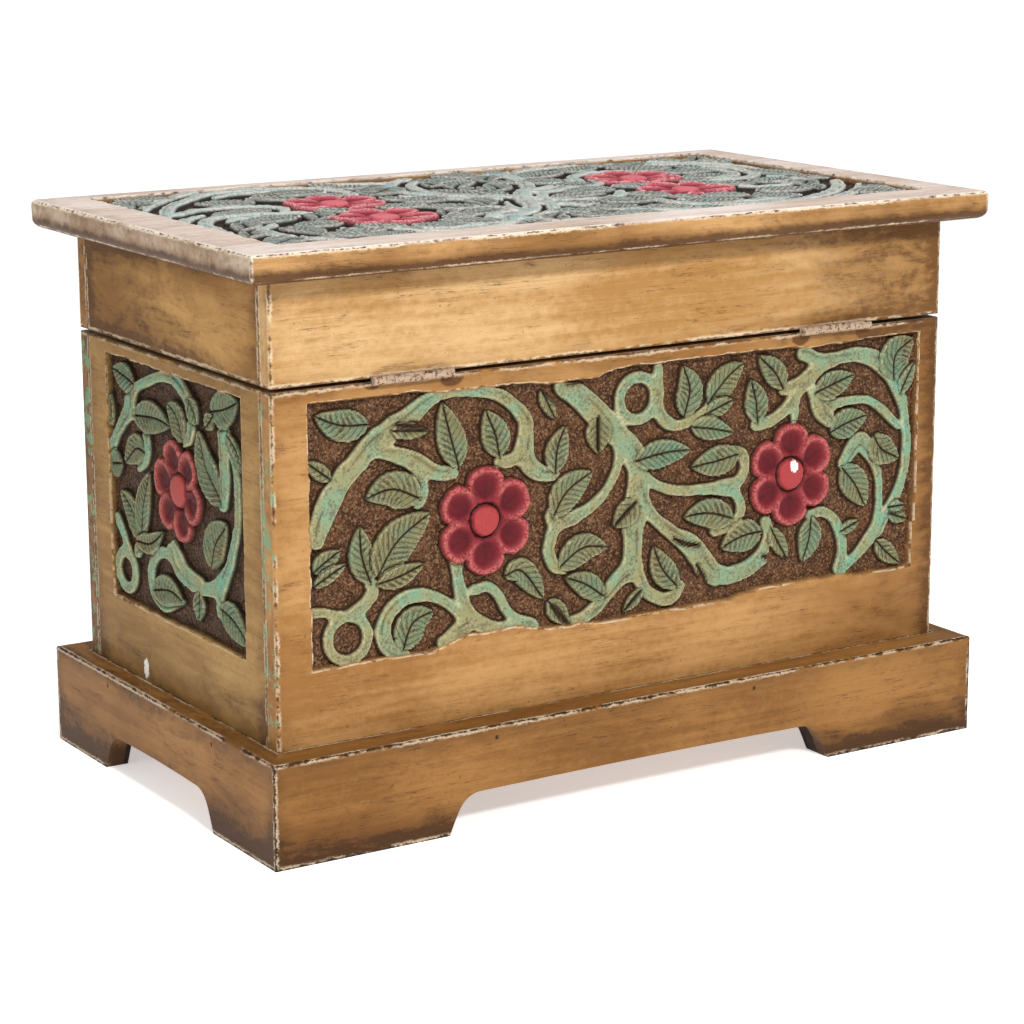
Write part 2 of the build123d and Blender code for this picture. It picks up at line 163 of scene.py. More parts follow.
def carveLeaf(panel, points, width, tone, slit=0.0):
    line, length = threaded([(x, y, width) for x, y in points])
    window = windowOf(panel, line[:, :2].min(0) - width / 2, line[:, :2].max(0) + width / 2)
    u, v = panel["u"][window], panel["v"][window]
    side, share = besideLine(u, v, line)[::2]
    # the blade swells quickly from its stalk and runs to a point, with a shallow notch at every vein
    swell = np.sin(pi * np.clip(share, 0, 1) ** 0.78) ** 0.72
    half = width / 2 * np.clip(swell, 0.02, 1)
    veins = share * length / carving["veinSpacing"] - np.abs(side) / carving["veinSlant"]
    notch = 0.5 + 0.5 * np.cos(2 * pi * veins)
    half = half * (1.07 + 0.05 * notch) - 0.15
    inside = (half - np.abs(side)) * 0.93
    midrib = np.exp(-((side / (0.5 + slit)) ** 2)) * smooth((0.97 - share) * 12)
    vein = np.clip(1.7 * (0.5 - 0.5 * np.cos(2 * pi * (veins + 0.5))) ** 3, 0, 1)
    vein = vein * smooth(inside / 1.0) * smooth(np.abs(side) / 0.9 - 0.3)
    across = np.clip(np.abs(side) / np.maximum(half, 0.5), 0, 1)
    top = carving["leafTop"] + 0.75 * np.sin(across * pi * 0.62) - (0.9 + 0.7 * slit) * midrib - 0.42 * vein
    top = top + 0.12 * wander(u, v, 2.0, 23)
    rim = np.exp(-(((inside - 0.55) / 0.6) ** 2))
    grooves = np.clip(midrib * (0.8 + slit) + 0.75 * vein, 0, 1)
    layOver(
        panel, window, inside, top,
        green=1, leaf=1, tone=tone, crest=rim * 0.9, vein=0.35 * grooves, along=share * length, across=side,
    )


def carveFlower(panel, x, y, boss, phase, size, dull):
    reach = size * 1.06
    window = windowOf(panel, (x - reach, y - reach), (x + reach, y + reach))
    u, v = panel["u"][window] - x, panel["v"][window] - y
    r = np.hypot(u, v)
    angle = np.arctan2(v, u)
    # the sunk dark middle that the petals grow from
    middle = carving["flowerMiddle"] + 0.1 * wander(u, v, 2.0, 5)
    layOver(panel, window, size * 0.60 - r, middle, red=1, deep=1, dull=dull)
    for k in range(6):
        turn = np.radians(phase + 60 * k)
        out = u * cos(turn) + v * sin(turn)
        across = -u * sin(turn) + v * cos(turn)
        stretch = 1 + 0.05 * sin(2.1 * k + phase)
        radial = (out - size * 0.62) / (size * 0.39)
        spread = across / (size * 0.385 * stretch * (1 + 0.16 * np.clip(radial, -1, 1)))
        inside = (1 - np.hypot(radial, spread)) * size * 0.38 + 0.35 * wander(u, v, 4.0, 80 + k)
        lip = np.exp(-(((inside - 1.5) / 1.3) ** 2)) * smooth(radial * 0.9 + 0.95)
        hollow = smooth((inside - 2.6) / 2.6)
        crease = np.exp(-((across / 0.8) ** 2)) * smooth(1.2 - radial * 1.4) * 0.25
        top = carving["petalTop"] + 0.95 * (lip - hollow) - crease + 0.2 * wander(u, v, 2.2, 31 + k)
        layOver(
            panel, window, inside, top,
            red=1, crest=lip, deep=np.clip(hollow * (0.85 - 0.45 * radial) + crease, 0, 1), dull=dull,
        )
    knob = boss - r * (1 + 0.025 * np.cos(3 * angle + phase))
    dome = carving["bossTop"] + np.sqrt(np.clip(1 - (r / boss) ** 2, 0, 1)) + 0.1 * wander(u, v, 1.6, 9)
    moat = np.exp(-(((knob + 1.0) / 0.8) ** 2))
    panel["height"][window] = panel["height"][window] * (1 - 0.75 * moat)
    # the moat round the boss is marked deep and painted darker: partly paint, partly painted shade
    panel["masks"]["deep"][window] = np.maximum(panel["masks"]["deep"][window], moat * (r > boss))
    layOver(panel, window, knob, dome, red=1, knob=1, crest=0.35, dull=dull)


def cutSlit(panel, points, width):
    line = threaded([(x, y, width) for x, y in points])[0]
    window = windowOf(panel, line[:, :2].min(0) - width, line[:, :2].max(0) + width)
    side, half, share = besideLine(panel["u"][window], panel["v"][window], line)
    inside = half / 2 * np.sin(pi * np.clip(share, 0.06, 0.94)) ** 0.5 - np.abs(side)
    layOver(panel, window, inside, carving["slitFloor"])


def linesBetween(low, high, step):
    return np.linspace(low, high, max(2, int(round((high - low) / step)) + 1))


def withExtra(lines, extra):
    keep = np.abs(lines[:, None] - np.array(extra)[None, :]).min(1) > 0.12
    keep[0] = keep[-1] = True
    return np.unique(np.round(np.concatenate([lines[keep], extra]), 4))


# Grid lines of a board's face: fine over the carved field, coarse on the frame, close together at the edges
def gridLines(settings):
    halfU, lowV, highV = settings["halfWidth"], settings["low"], settings["high"]
    inset = settings["rows"][0][0]
    left, right, bottom, top = settings["field"]
    step = settings["step"] * 1
    coarse, margin, edges = 3.0, 1.4, settings["edgeLines"]
    uExtra = [side * (halfU - inset - e) for side in (1, -1) for e in edges]
    reach = settings["notchLength"] / 2
    for centre in settings["notches"]:
        uExtra += [centre - reach - 0.02, centre - reach, centre + reach, centre + reach + 0.02]
    uLines = np.concatenate([
        linesBetween(-halfU + inset, left - margin - step, coarse),
        linesBetween(left - margin, right + margin, step),
        linesBetween(right + margin + step, halfU - inset, coarse),
    ])
    vLow, vHigh = lowV + inset, highV - inset
    vExtra = [vLow + e for e in edges] + [vHigh - e for e in edges]
    vLines = np.concatenate([
        linesBetween(vLow, bottom - margin - step, coarse),
        linesBetween(bottom - margin, top + margin, step),
        linesBetween(min(top + margin + step, vHigh - 2.6), vHigh, coarse),
    ])
    return withExtra(uLines, uExtra), withExtra(vLines, vExtra)


# Depth of each grid point below the board's face, its share in the sunk field, and the lip round that field
def sinkField(panel, settings):
    u, v = panel["u"], panel["v"]
    left, right, bottom, top = settings["field"]
    inset = settings["rows"][0][0]
    # how far a point lies inside the field, whose edge was cut by hand
    inField = np.minimum(np.minimum(u - left, right - u), np.minimum(v - bottom, top - v))
    inField = inField + settings["edgeShift"](u, v)
    inField = inField + 0.45 * wander(u, v, 7.0, 71) + 0.2 * wander(u, v, 2.3, 72)
    sunk = smooth(inField / 0.9 + 0.5)
    ground = 0.28 * wander(u, v, 1.5, 41) + 0.35 * wander(u, v, 4.5, 42)
    loose = 1 - smooth(panel["height"] / 1.2)
    depth = sunk * (settings["depth"] - panel["height"] - ground * loose)
    # arris on the standing edges, and the other edges rubbed down here and there
    arris = settings["arris"]
    if arris:
        curve = np.clip(arris - (settings["halfWidth"] - inset - np.abs(u)), 0, arris)
        depth = depth + arris - np.sqrt(np.clip(arris**2 - curve**2, 0, None))
    fromEnd = np.minimum(v - settings["low"] - inset, settings["high"] - inset - v)
    rub = 0.16 + 0.10 * wander(u, v, 14.0, 51) + 0.06 * wander(u, v, 3.0, 52)
    depth = np.maximum(depth + np.where(fromEnd < 1.0, rub * (1 - fromEnd) ** 2, 0), 0)
    lip = np.exp(-(((inField + 0.5) / 0.8) ** 2)) * (1 - sunk)
    return depth, sunk, lip


# Rounds the corners of a ring of points to a radius
def roundCorners(x, y, halfX, halfY, radius):
    overX, overY = np.abs(x) - (halfX - radius), np.abs(y) - (halfY - radius)
    both = (overX > 0) & (overY > 0)
    out = np.hypot(overX, overY)
    pull = np.where(both & (out > radius), radius / np.maximum(out, 1e-6), 1)
    x = np.where(both, np.sign(x) * (halfX - radius + overX * pull), x)
    y = np.where(both, np.sign(y) * (halfY - radius + overY * pull), y)
    return x, y


plainBoard = {
    "edgeLines": (0.25, 0.6, 1.0, 1.5, 2.4), "notches": (), "notchLength": 0, "notchDrop": 0,
    "notchReach": -1, "arris": 0, "corner": 0,
    "edgeShift": lambda u, v: 0 * u, "dents": lambda u, v, depth: 0 * u,
}
paintNames = ("green", "leaf", "tone", "crest", "vein", "red", "deep", "knob", "dull")


# A carved board as one closed surface: a height field on its outer face, then rows of the rim of that
# field carried round the edges to the back. A row is an inset from the board's outline and a depth.
def carvedBoard(name, face, settings, carve):
    halfU, lowV, highV = settings["halfWidth"], settings["low"], settings["high"]
    uLines, vLines = gridLines(settings)
    u, v = np.meshgrid(uLines, vLines, indexing="ij")
    panel = {
        "uLines": uLines, "vLines": vLines, "u": u, "v": v, "height": np.zeros(u.shape),
        "masks": {key: np.zeros(u.shape) for key in (*paintNames, "along", "across")},
        "stalks": {"inside": np.full(u.shape, -99.0), "tone": np.zeros(u.shape), "scored": np.zeros(u.shape)},
    }
    carve(panel)
    depth, sunk, lip = sinkField(panel, settings)
    masks = panel["masks"]
    for key in paintNames:
        masks[key] = masks[key] * sunk

    # the notches that take the hinge leaves
    vGrid = v.copy()
    notched = np.zeros(len(uLines), bool)
    for centre in settings["notches"]:
        notched |= np.abs(uLines - centre) <= settings["notchLength"] / 2 + 0.005
    vGrid[notched, -1] -= settings["notchDrop"]

    origin, uDir, vDir, outward = (np.array(part, float) for part in face)
    grid = origin + u[..., None] * uDir + vGrid[..., None] * vDir - depth[..., None] * outward
    nu, nv = u.shape
    index = np.arange(nu * nv).reshape(nu, nv)
    quads = np.stack([index[:-1, :-1], index[1:, :-1], index[1:, 1:], index[:-1, 1:]], -1)
    faces = quads.reshape(-1, 4).tolist()
    rim = np.concatenate([index[:-1, 0], index[-1, :-1], index[:0:-1, -1], index[0, :0:-1]])
    rimU, rimV = u.reshape(-1)[rim], v.reshape(-1)[rim]
    onNotch = (rimV == vLines[-1]) & np.isin(rimU, uLines[notched])
    middleV, halfV = (lowV + highV) / 2, (highV - lowV) / 2
    inset = settings["rows"][0][0]
    vertices = [grid.reshape(-1, 3)]
    before, total = rim, nu * nv
    for rowInset, rowDepth in settings["rows"][1:]:
        dent = settings["dents"](rimU, rimV, rowDepth)
        x = rimU * (halfU - rowInset - dent) / (halfU - inset)
        y = (rimV - middleV) * (halfV - rowInset - dent) / (halfV - inset)
        if settings["corner"]:
            x, y = roundCorners(x, y, halfU - rowInset, halfV - rowInset, settings["corner"])
        y = y + middleV
        if rowDepth <= settings["notchReach"]:
            y = y - np.where(onNotch, settings["notchDrop"], 0)
        vertices.append(origin + x[:, None] * uDir + y[:, None] * vDir - rowDepth * outward)
        now = np.arange(total, total + len(rim))
        total += len(rim)
        faces += np.stack([before, now, np.roll(now, -1), np.roll(before, -1)], -1).tolist()
        before = now
    # the flat back: one strip of wood to each column of the grid
    low = before[:nu]
    high = before[nu + nv - 2: 2 * nu + nv - 2][::-1]
    faces += np.stack([high[1:-2], high[2:-1], low[2:-1], low[1:-2]], -1).tolist()
    leftSide = before[2 * nu + nv - 3:].tolist() + [int(low[0])]
    rightSide = before[nu - 1: nu + nv - 1].tolist()
    faces.append((leftSide + [int(low[1]), int(high[1])])[::-1])
    faces.append(([int(low[-2])] + rightSide + [int(high[-2])])[::-1])

    mesh = bpy.data.meshes.new(name)
    mesh.from_pydata(np.vstack(vertices) * mm, [], faces)
    mesh.update()
    mesh.polygons.foreach_set("use_smooth", np.ones(len(mesh.polygons), bool))
    mesh.set_sharp_from_angle(angle=0.72)
    # four columns to an attribute, for the paint
    for label, columns in (
        ("carvedA", (masks["green"], masks["leaf"], masks["tone"], sunk)),
        ("carvedB", (masks["crest"], masks["vein"], masks["deep"], masks["knob"])),
        ("carvedC", (masks["red"], masks["dull"], lip, np.clip(panel["height"] / 3, 0, 1))),
        ("carvedD", (masks["along"], masks["across"])),
    ):
        data = np.zeros((len(mesh.vertices), 4), np.float32)
        for k, column in enumerate(columns):
            data[: nu * nv, k] = column.reshape(-1)
        mesh.attributes.new(label, "FLOAT_COLOR", "POINT").data.foreach_set("color", data.reshape(-1))
    piece = bpy.data.objects.new(name, mesh)
    bpy.context.scene.collection.objects.link(piece)
    print("board", name, len(mesh.vertices), "points", sum(len(f) - 2 for f in faces), "triangles")
    return piece


# Layout of the carving on the long walls, in mm along the wall and up, x to the right as seen from outside.
# Flowers are x, height, boss radius, turn in degrees, radius and dullness.
longFlowers = [(-71, 129.5, 6.4, 90, 23.5, 0), (90, 130.3, 6.9, 90, 23.5, 0)]
# rings are x, height, inner and outer radius, squash and tone
longRings = [(-138.3, 88, 6.8, 11.8, 0, 0.1), (6.2, 173.8, 6.6, 12, 0, 0.2)]
# stems are a tone, then points of x, height and width
longStems = [
    (0.25, (-152, 131, 6), (-149, 141, 9), (-141, 153.5, 8), (-132.5, 162, 8.5), (-124, 170, 8),
     (-112, 175.5, 9), (-100, 183, 6), (-90, 186.3, 4), (-78, 186, 4.5), (-68, 184, 4.5), (-59, 179.5, 5),
     (-51.5, 171, 5.5), (-51, 164, 6.5), (-51.5, 157, 8), (-48.5, 150.5, 7), (-43, 146.5, 6),
     (-37, 145.5, 5.5)),
    (0.1, (-52, 156, 5), (-58, 154, 5), (-64, 154, 4.5)),
    (0.2, (-124, 166, 5), (-118, 164, 5), (-110, 162, 5), (-104, 159, 6), (-98, 154.5, 6),
     (-93, 152.5, 5.5), (-87, 152, 5)),
    (0.3, (-112, 161, 4), (-106, 157, 4), (-102.5, 151, 4), (-101.5, 145, 4), (-104, 141, 4)),
    (0.2, (-128, 113, 5), (-126, 107, 5), (-129, 102, 5), (-134, 99, 5)),
    (0.3, (-112, 77, 5), (-119, 81, 6), (-121.5, 88, 6), (-119.5, 95, 5.5), (-113, 100.5, 5.5),
     (-105, 101.8, 5), (-97, 100, 4.5), (-90, 96, 4), (-84, 90, 3.7), (-79, 86.5, 4)),
    (0.2, (-86, 113, 4.5), (-84.5, 104, 4.7), (-82.5, 96, 5), (-78, 88, 5)),
    (0.2, (-92, 79, 6), (-84, 84, 6), (-77, 86, 6), (-69, 82, 6), (-60, 80, 6), (-50, 79.5, 6)),
    (0.3, (-77, 100, 3.8), (-70, 100.5, 3.8), (-65, 96, 3.8), (-61, 89, 3.8), (-55, 84, 3.8),
     (-48, 80.5, 4)),
    (0.1, (-143, 98, 3.5), (-149, 100.5, 3.5), (-155, 101, 3.5)),
    (0.35, (-32, 183, 8), (-24, 178, 9), (-16, 171, 10), (-9, 163, 10), (-2, 156.5, 9), (4, 150, 9),
     (6, 142, 8), (6, 133, 9), (5, 124, 10), (4, 114, 9), (4, 104, 8), (3, 97, 7)),
    (0.2, (-3.5, 151, 3.5), (-4.5, 144, 3.5), (-8.5, 137, 3.5), (-15, 130.5, 4), (-23, 126.5, 5),
     (-31, 124.5, 6), (-37, 127, 7)),
    (0.15, (-34, 124, 5), (-38, 119, 5), (-39.5, 112, 5), (-37, 105.5, 5), (-32, 103.5, 5)),
    (0.2, (3, 98, 7), (-3, 95, 6.5), (-9, 89.5, 6), (-15, 84, 5.5), (-22, 80, 5), (-30, 78.5, 5)),
    (0.1, (6, 97, 5.5), (10, 89, 5.5), (15, 84.5, 5), (21, 82, 5), (26, 83, 5), (29, 87, 5)),
    (0.2, (4, 147, 5), (9, 140, 4.5), (16, 134.5, 4), (25, 131, 4), (35, 129.5, 4), (46, 129, 4.3),
     (55, 129, 5)),
    (0.2, (55, 129, 4.5), (61, 131, 4.5), (64, 136, 4.5), (63, 142, 4.5), (58, 145, 4)),
    (0.2, (50, 128.5, 4), (58, 126, 4.2), (62, 120, 4.2), (61, 114, 4), (55, 110.5, 4), (48, 109.5, 4)),
    (0.15, (17, 186, 4), (17, 176, 4.5), (17.5, 167, 5), (22, 161.5, 5), (28, 159.5, 4), (36, 161.5, 4),
     (43, 165, 4), (47, 170, 4)),
    (0.3, (8, 131, 6), (12, 124, 5), (18, 117.5, 5), (26, 111, 6), (34, 105.5, 8), (40, 99, 9),
     (46, 91, 9), (55, 88, 7), (66, 89, 5), (75, 93, 4)),
    (0.2, (60, 89, 4.7), (68, 91.5, 4.7), (75, 97, 4.7), (78, 104, 4.7), (76, 110, 4.5)),
    (0.3, (70, 155, 4.5), (78, 156, 4.5), (85, 159.5, 4.5), (91, 165, 4.5), (97, 171, 4.5),
     (104, 176, 4.5), (112, 179.5, 4.5)),
    (0.3, (92, 163, 3), (91.5, 155, 3)),
    (0.3, (85, 169.5, 4), (93, 172, 4), (100, 175.5, 4)),
    (0.6, (96, 185, 6), (106, 181, 5), (116, 181, 5), (127, 181.5, 6), (137, 178, 7), (145, 171, 6),
     (151, 162, 5), (154.5, 152, 4), (156, 141, 4), (156, 130, 4), (153.5, 119, 4), (148, 108.5, 5),
     (141, 100, 6), (133, 92, 5), (126, 86, 4), (119, 82.5, 5)),
    (0.6, (108, 159, 6), (115, 160, 4), (124, 160.5, 3.3), (132, 160, 3.3), (139, 156.5, 3.5),
     (146, 150.5, 3.5), (151, 146, 3)),
    (0.5, (103, 166, 6), (106, 158, 7), (111, 153, 6)),
    (0.6, (140, 98, 4), (140.5, 106, 3.3), (141, 114, 3.3), (140.5, 122, 3.5), (138, 130, 4.5),
     (134, 137, 7), (129, 141, 8), (124, 137.5, 6), (120, 132, 5)),
    (0.4, (119, 84, 5), (120, 92, 4.5), (118.5, 100, 4.5), (114.5, 107, 4), (107.5, 110.8, 4),
     (100.5, 110, 3.5)),
]
# leaves are a width, a tone, then points from stalk to tip
longLeaves = [
    (13, 0.75, (-127, 177), (-140, 178), (-152, 183)), (7, 0.3, (-116, 173), (-98, 171)),
    (7, 0.4, (-145, 156), (-157, 165)), (9, 0.3, (-154, 118), (-141, 126)),
    (6, 0.3, (-154, 112), (-138, 120)), (15, 0.25, (-103, 143), (-116, 148.5), (-129, 146)),
    (13, 0.4, (-84, 154), (-88, 168), (-92, 182.5)), (13, 0.5, (-64, 156), (-66, 166), (-71, 177)),
    (12, 0.35, (-127, 110), (-131, 122), (-132, 135)), (17, 0.0, (-124, 112), (-114, 126), (-98, 136.5)),
    (9, 0.1, (-124, 109), (-113, 111), (-101, 115)), (14, 0.6, (-112, 79), (-107, 90), (-97, 94)),
    (11, 0.6, (-62, 104), (-53, 105), (-42, 91)), (9, 0.3, (-40, 90), (-29, 78)),
    (11, 0.4, (-36, 146), (-35, 156), (-31, 166)), (7, 0.3, (-43, 183), (-36, 169)),
    (14, 0.35, (-37, 127), (-30, 137), (-17, 144.5)), (13, 0.3, (-34, 104), (-22, 111), (-9, 110)),
    (11, 0.5, (-11, 88), (-21, 95), (-31, 99)), (12, 0.4, (28, 87), (20, 96), (15, 107)),
    (12, 0.9, (5, 146), (20, 148), (35, 148)), (13, 0.45, (61, 143), (48, 141), (35, 140)),
    (13, 0.45, (58, 114), (45, 118), (31, 118)), (13, 0.5, (31, 163), (34, 175), (30, 186)),
    (13, 0.55, (44, 168), (54, 178), (63, 184)), (8, 0.5, (43, 163), (58, 168)),
    (10, 0.85, (35, 158), (46, 156), (58, 153)), (14, 0.45, (74, 106), (63, 105), (51.5, 101)),
    (8, 0.4, (79, 107), (89, 90.5)), (12, 0.7, (71, 156), (70, 166), (67, 176)),
    (11, 0.6, (85, 170), (80, 178), (71, 186)), (12, 0.65, (103, 166), (113, 169), (125, 172.5)),
    (13, 0.95, (112, 147), (122, 150.5), (133, 153)), (14, 0.6, (119, 130), (127, 121), (133, 110)),
    (13, 0.6, (137, 143), (142, 136), (152, 130.5)), (12, 0.55, (102, 109), (101, 99), (97, 88.5)),
    (6, 0.5, (119, 100), (130, 104)), (16, 0.6, (148, 168), (149, 179), (159, 186)),
    (7, 0.6, (152, 161), (160, 175)), (7, 0.6, (147, 105), (158, 101)),
    (5, 0.95, (147, 108), (157, 108)), (9, 0.5, (140, 93), (146, 87), (154, 80.5)),
]
longSlitLeaves = [
    (12, 0.3, (-14, 168), (-14, 151.5)), (11, 0.3, (6, 128), (-6, 118)), (6, 0.3, (9, 88), (-1, 79)),
]
# slits are a width, then points
longSlits = [
    (1.3, (-113, 175), (-98, 173)), (2, (-81, 80.5), (-70, 78)),
    (2.5, (-43, 184), (-37, 179), (-31, 172)), (1.6, (-30, 184.5), (-8, 185)),
    (1.8, (26, 109), (33, 105.5), (40, 104)), (2.5, (39, 95), (42, 88), (44, 80.5)),
    (2, (51, 83), (58, 80)), (1.6, (-37, 87), (-30, 78)), (1.6, (75, 94), (88, 91)),
]


def carveLong(panel):
    for tone, *points in longStems:
        carveStem(panel, points, tone)
    for x, y, inner, outer, squash, tone in longRings:
        carveRing(panel, x, y, inner, outer, squash, tone)
    raiseStalks(panel)
    for width, tone, *points in longLeaves:
        carveLeaf(panel, points, width, tone)
    for width, tone, *points in longSlitLeaves:
        carveLeaf(panel, points, width, tone, slit=0.6)
    for width, *points in longSlits:
        cutSlit(panel, points, width)
    for flower in longFlowers:
        carveFlower(panel, *flower)


# the field's lower edge rises where the frame was left wider, and its upper edge falls: x and shift
lowerEdge = [
    (-155, 0), (-98, 0), (-80, -4.2), (-54, -4.2), (-40, -1), (-24, -1), (-12, 0), (56, 0), (72, -3),
    (118, -3), (130, -1.8), (160, -1.8),
]
upperEdge = [
    (-104, 0), (-92, -1.4), (-58, -1.5), (-48, -2.4), (-40, -3.2), (-16, -3.2), (-4, 0), (84, 0),
    (96, -1), (120, -1), (130, 0),
]


def longEdgeShift(u, v):
    rise = np.interp(u, *zip(*lowerEdge))
    fall = np.interp(u, *zip(*upperEdge))
    return np.where(v < 100, rise, np.where(v > 170, fall, 0))


# Outer size of the trunk's walls and the boards' thickness, in mm
trunk = {
    "halfLength": 172.5, "halfWidth": 92.5, "innerHalfWidth": 83.3, "wall": 9.2, "low": 25, "high": 194.5,
}
longWall = dict(
    plainBoard, halfWidth=trunk["halfLength"], low=trunk["low"], high=trunk["high"],
    field=(-155.3, 160.6, 77.2, 188.2), depth=3.5, step=0.70, arris=1.5, edgeShift=longEdgeShift,
    rows=[(0, 0), (0, 8.1), (0, 8.12), (0, trunk["wall"])],
)
backWall = dict(longWall, notches=(-107.6, 111.2), notchLength=38.2, notchDrop=1.0, notchReach=8.1)
boards = {}
boards["back"] = carvedBoard(
    "carved_back", ((0, trunk["halfWidth"], 0), (-1, 0, 0), (0, 0, 1), (0, 1, 0)), backWall, carveLong
)
boards["front"] = carvedBoard(
    "carved_front", ((0, -trunk["halfWidth"], 0), (1, 0, 0), (0, 0, 1), (0, -1, 0)), longWall, carveLong
)

# The short walls, laid out in the same way
endStems = [
    (0.6, (-42, 174, 6), (-36, 177.5, 4), (-25, 181.5, 4), (-12, 185.5, 4), (0, 186.5, 5), (10, 183, 6),
     (15.5, 177, 6), (17, 170, 5.5), (15, 163.5, 5), (9, 160.5, 4)),
    (0.5, (-43, 172, 8), (-45, 166, 8), (-51, 160.5, 6), (-57, 154.5, 5), (-63, 147, 5)),
    (0.5, (-42, 165, 4.5), (-35, 162, 4.5), (-29, 158, 4.5), (-27, 151.5, 4.5), (-30, 145.5, 4.5),
     (-36, 141.8, 4.5)),
    (0.6, (-7, 110, 5), (-2, 103.5, 5), (6, 99.8, 4.5), (15, 98.5, 4.5), (26, 99.5, 5), (36, 102, 6),
     (43.5, 107, 6), (50, 115, 5), (55, 125, 4.5), (58.5, 135, 4.5), (59.5, 145, 4.5), (58, 155, 4.5),
     (54, 164, 5), (48, 171.5, 6)),
    (0.5, (42, 105, 6), (40, 99, 6), (41, 93, 6)),
    (0.5, (-37, 108, 6), (-41, 103, 6)),
    (0.6, (-8, 107.5, 4), (-16, 107, 4.5), (-23, 103.5, 4.5), (-27, 97, 4.5), (-27, 90, 5), (-22, 85, 5),
     (-14, 83.5, 5), (-4, 86.5, 4), (4, 89, 2)),
    (0.5, (45, 141, 7), (47, 150, 8), (47, 160, 7), (46, 171, 6)),
    (0.6, (-51, 102, 4), (-55, 107, 4.5), (-61, 114, 4)),
    (0.4, (-3, 113, 4), (8, 104, 4), (22, 102, 3)),
]
endLeaves = [
    (12, 0.9, (-40, 178), (-61, 182)), (14, 0.6, (8, 160), (2, 170), (-6, 175)),
    (14, 0.6, (-40, 164), (-20, 166), (-4, 165)), (13, 0.6, (-30, 149), (-40, 149), (-51, 141)),
    (6, 0.7, (-64, 155), (-64, 171)), (12, 0.6, (-66, 138), (-54, 140)),
    (12, 0.6, (-38, 108), (-46, 120), (-57, 127.5)), (13, 0.5, (-37, 109), (-34, 125), (-26, 141)),
    (9, 0.5, (-42, 107), (-28, 108.5), (-14, 116.5)), (13, 0.6, (-26, 88), (-10, 91), (4, 89)),
    (17, 0.5, (32, 110), (36, 121), (48, 132)), (17, 0.6, (44, 140), (29, 153), (23, 168)),
    (15, 0.9, (36, 178), (48, 181), (61, 186)), (8, 0.6, (37, 176), (30, 170)),
    (10, 0.6, (14, 180), (23, 170)), (14, 0.7, (40, 94), (52, 91), (66, 83.5)),
    (10, 0.6, (20, 97), (19, 83.5)), (6, 0.7, (50, 171), (59, 164), (64, 155)),
]


def carveEnd(panel):
    for tone, *points in endStems:
        carveStem(panel, points, tone)
    carveRing(panel, -53, 91.6, 6.0, 11.7, -0.6, 0.6)
    raiseStalks(panel)
    for width, tone, *points in endLeaves:
        carveLeaf(panel, points, width, tone)
    carveFlower(panel, 1.8, 137.8, 7.0, 107, 22.5, 0.6)


endWall = dict(
    plainBoard, halfWidth=trunk["innerHalfWidth"], low=trunk["low"], high=trunk["high"],
    field=(-65.1, 65.1, 77.6, 188.2), depth=3.5, step=0.55,
    edgeShift=lambda u, v: np.where((v < 90), -0.5, 0) + 0 * u, rows=[(0, 0), (0, trunk["wall"])],
)
boards["right"] = carvedBoard(
    "carved_right", ((trunk["halfLength"], 0, 0), (0, 1, 0), (0, 0, 1), (1, 0, 0)), endWall, carveEnd
)
boards["left"] = carvedBoard(
    "carved_left", ((-trunk["halfLength"], 0, 0), (0, -1, 0), (0, 0, 1), (-1, 0, 0)), endWall, carveEnd
)

# The lid's slab, seen from above with x along the trunk and y to the back
topStems = [
    (0.5, (163, -20, 5), (150, -45, 5.5), (140, -60, 5), (125, -75, 5), (110, -88, 5.5), (95, -92, 5.5),
     (80, -92, 5), (65, -86, 5), (55, -75, 5), (52, -60, 5), (55, -48, 4)),
    (0.5, (152, -30, 5), (140, -38, 5), (125, -40, 5), (110, -35, 4.5), (104, -25, 4.5), (108, -15, 4)),
    (0.5, (163, 40, 5), (158, 10, 5.5), (150, -5, 5.5), (140, -12, 5), (125, -13, 4.5), (110, -8, 4.5),
     (100, -2, 4)),
    (0.5, (95, 62, 4.5), (90, 75, 5), (75, 80, 5), (58, 78, 5), (45, 70, 6), (35, 55, 6.5), (20, 45, 7),
     (10, 32, 7), (2, 15, 7.5), (-5, 0, 7.5), (-14, -14, 7), (-26, -28, 6.5), (-40, -60, 6),
     (-38, -80, 5)),
    (0.5, (-5, 0, 6), (8, -12, 5.5), (22, -22, 5), (30, -38, 5), (28, -60, 5), (18, -78, 5),
     (4, -88, 4.5)),
    (0.5, (18, -78, 4), (34, -84, 4.5), (48, -92, 4)),
    (0.5, (20, 45, 5), (22, 30, 4.5), (30, 20, 4.5), (46, 18, 4)),
    (0.5, (35, 55, 5), (30, 70, 5), (20, 80, 5), (4, 82, 4)),
    (0.5, (-160, 30, 5), (-150, 45, 5.5), (-135, 60, 6), (-115, 72, 5.5), (-95, 78, 5), (-75, 76, 5),
     (-58, 66, 5), (-50, 50, 5), (-52, 36, 4)),
    (0.5, (-110, -85, 5), (-135, -70, 5), (-148, -50, 5.5), (-150, -25, 5.5), (-140, -8, 5),
     (-125, -3, 5), (-112, -6, 4)),
    (0.5, (-152, 20, 5), (-145, 0, 5), (-135, 26, 4.5), (-122, 30, 4.5), (-112, 22, 4)),
    (0.5, (-14, -14, 5), (-30, -12, 5), (-46, -20, 5), (-58, -34, 5), (-66, -52, 5), (-82, -62, 4.5),
     (-98, -58, 4)),
    (0.5, (-8, 10, 5), (-20, 22, 5), (-34, 24, 5), (-46, 18, 5), (-54, 6, 4)),
    (0.5, (2, 15, 5), (-10, 38, 5), (-18, 60, 5), (-32, 74, 5), (-46, 82, 4)),
    (0.5, (130, 80, 4), (140, 68, 5), (146, 50, 5), (144, 34, 4.5), (134, 24, 4)),
    (0.5, (-40, -60, 5), (-52, -82, 5), (-70, -90, 5), (-92, -90, 4)),
]
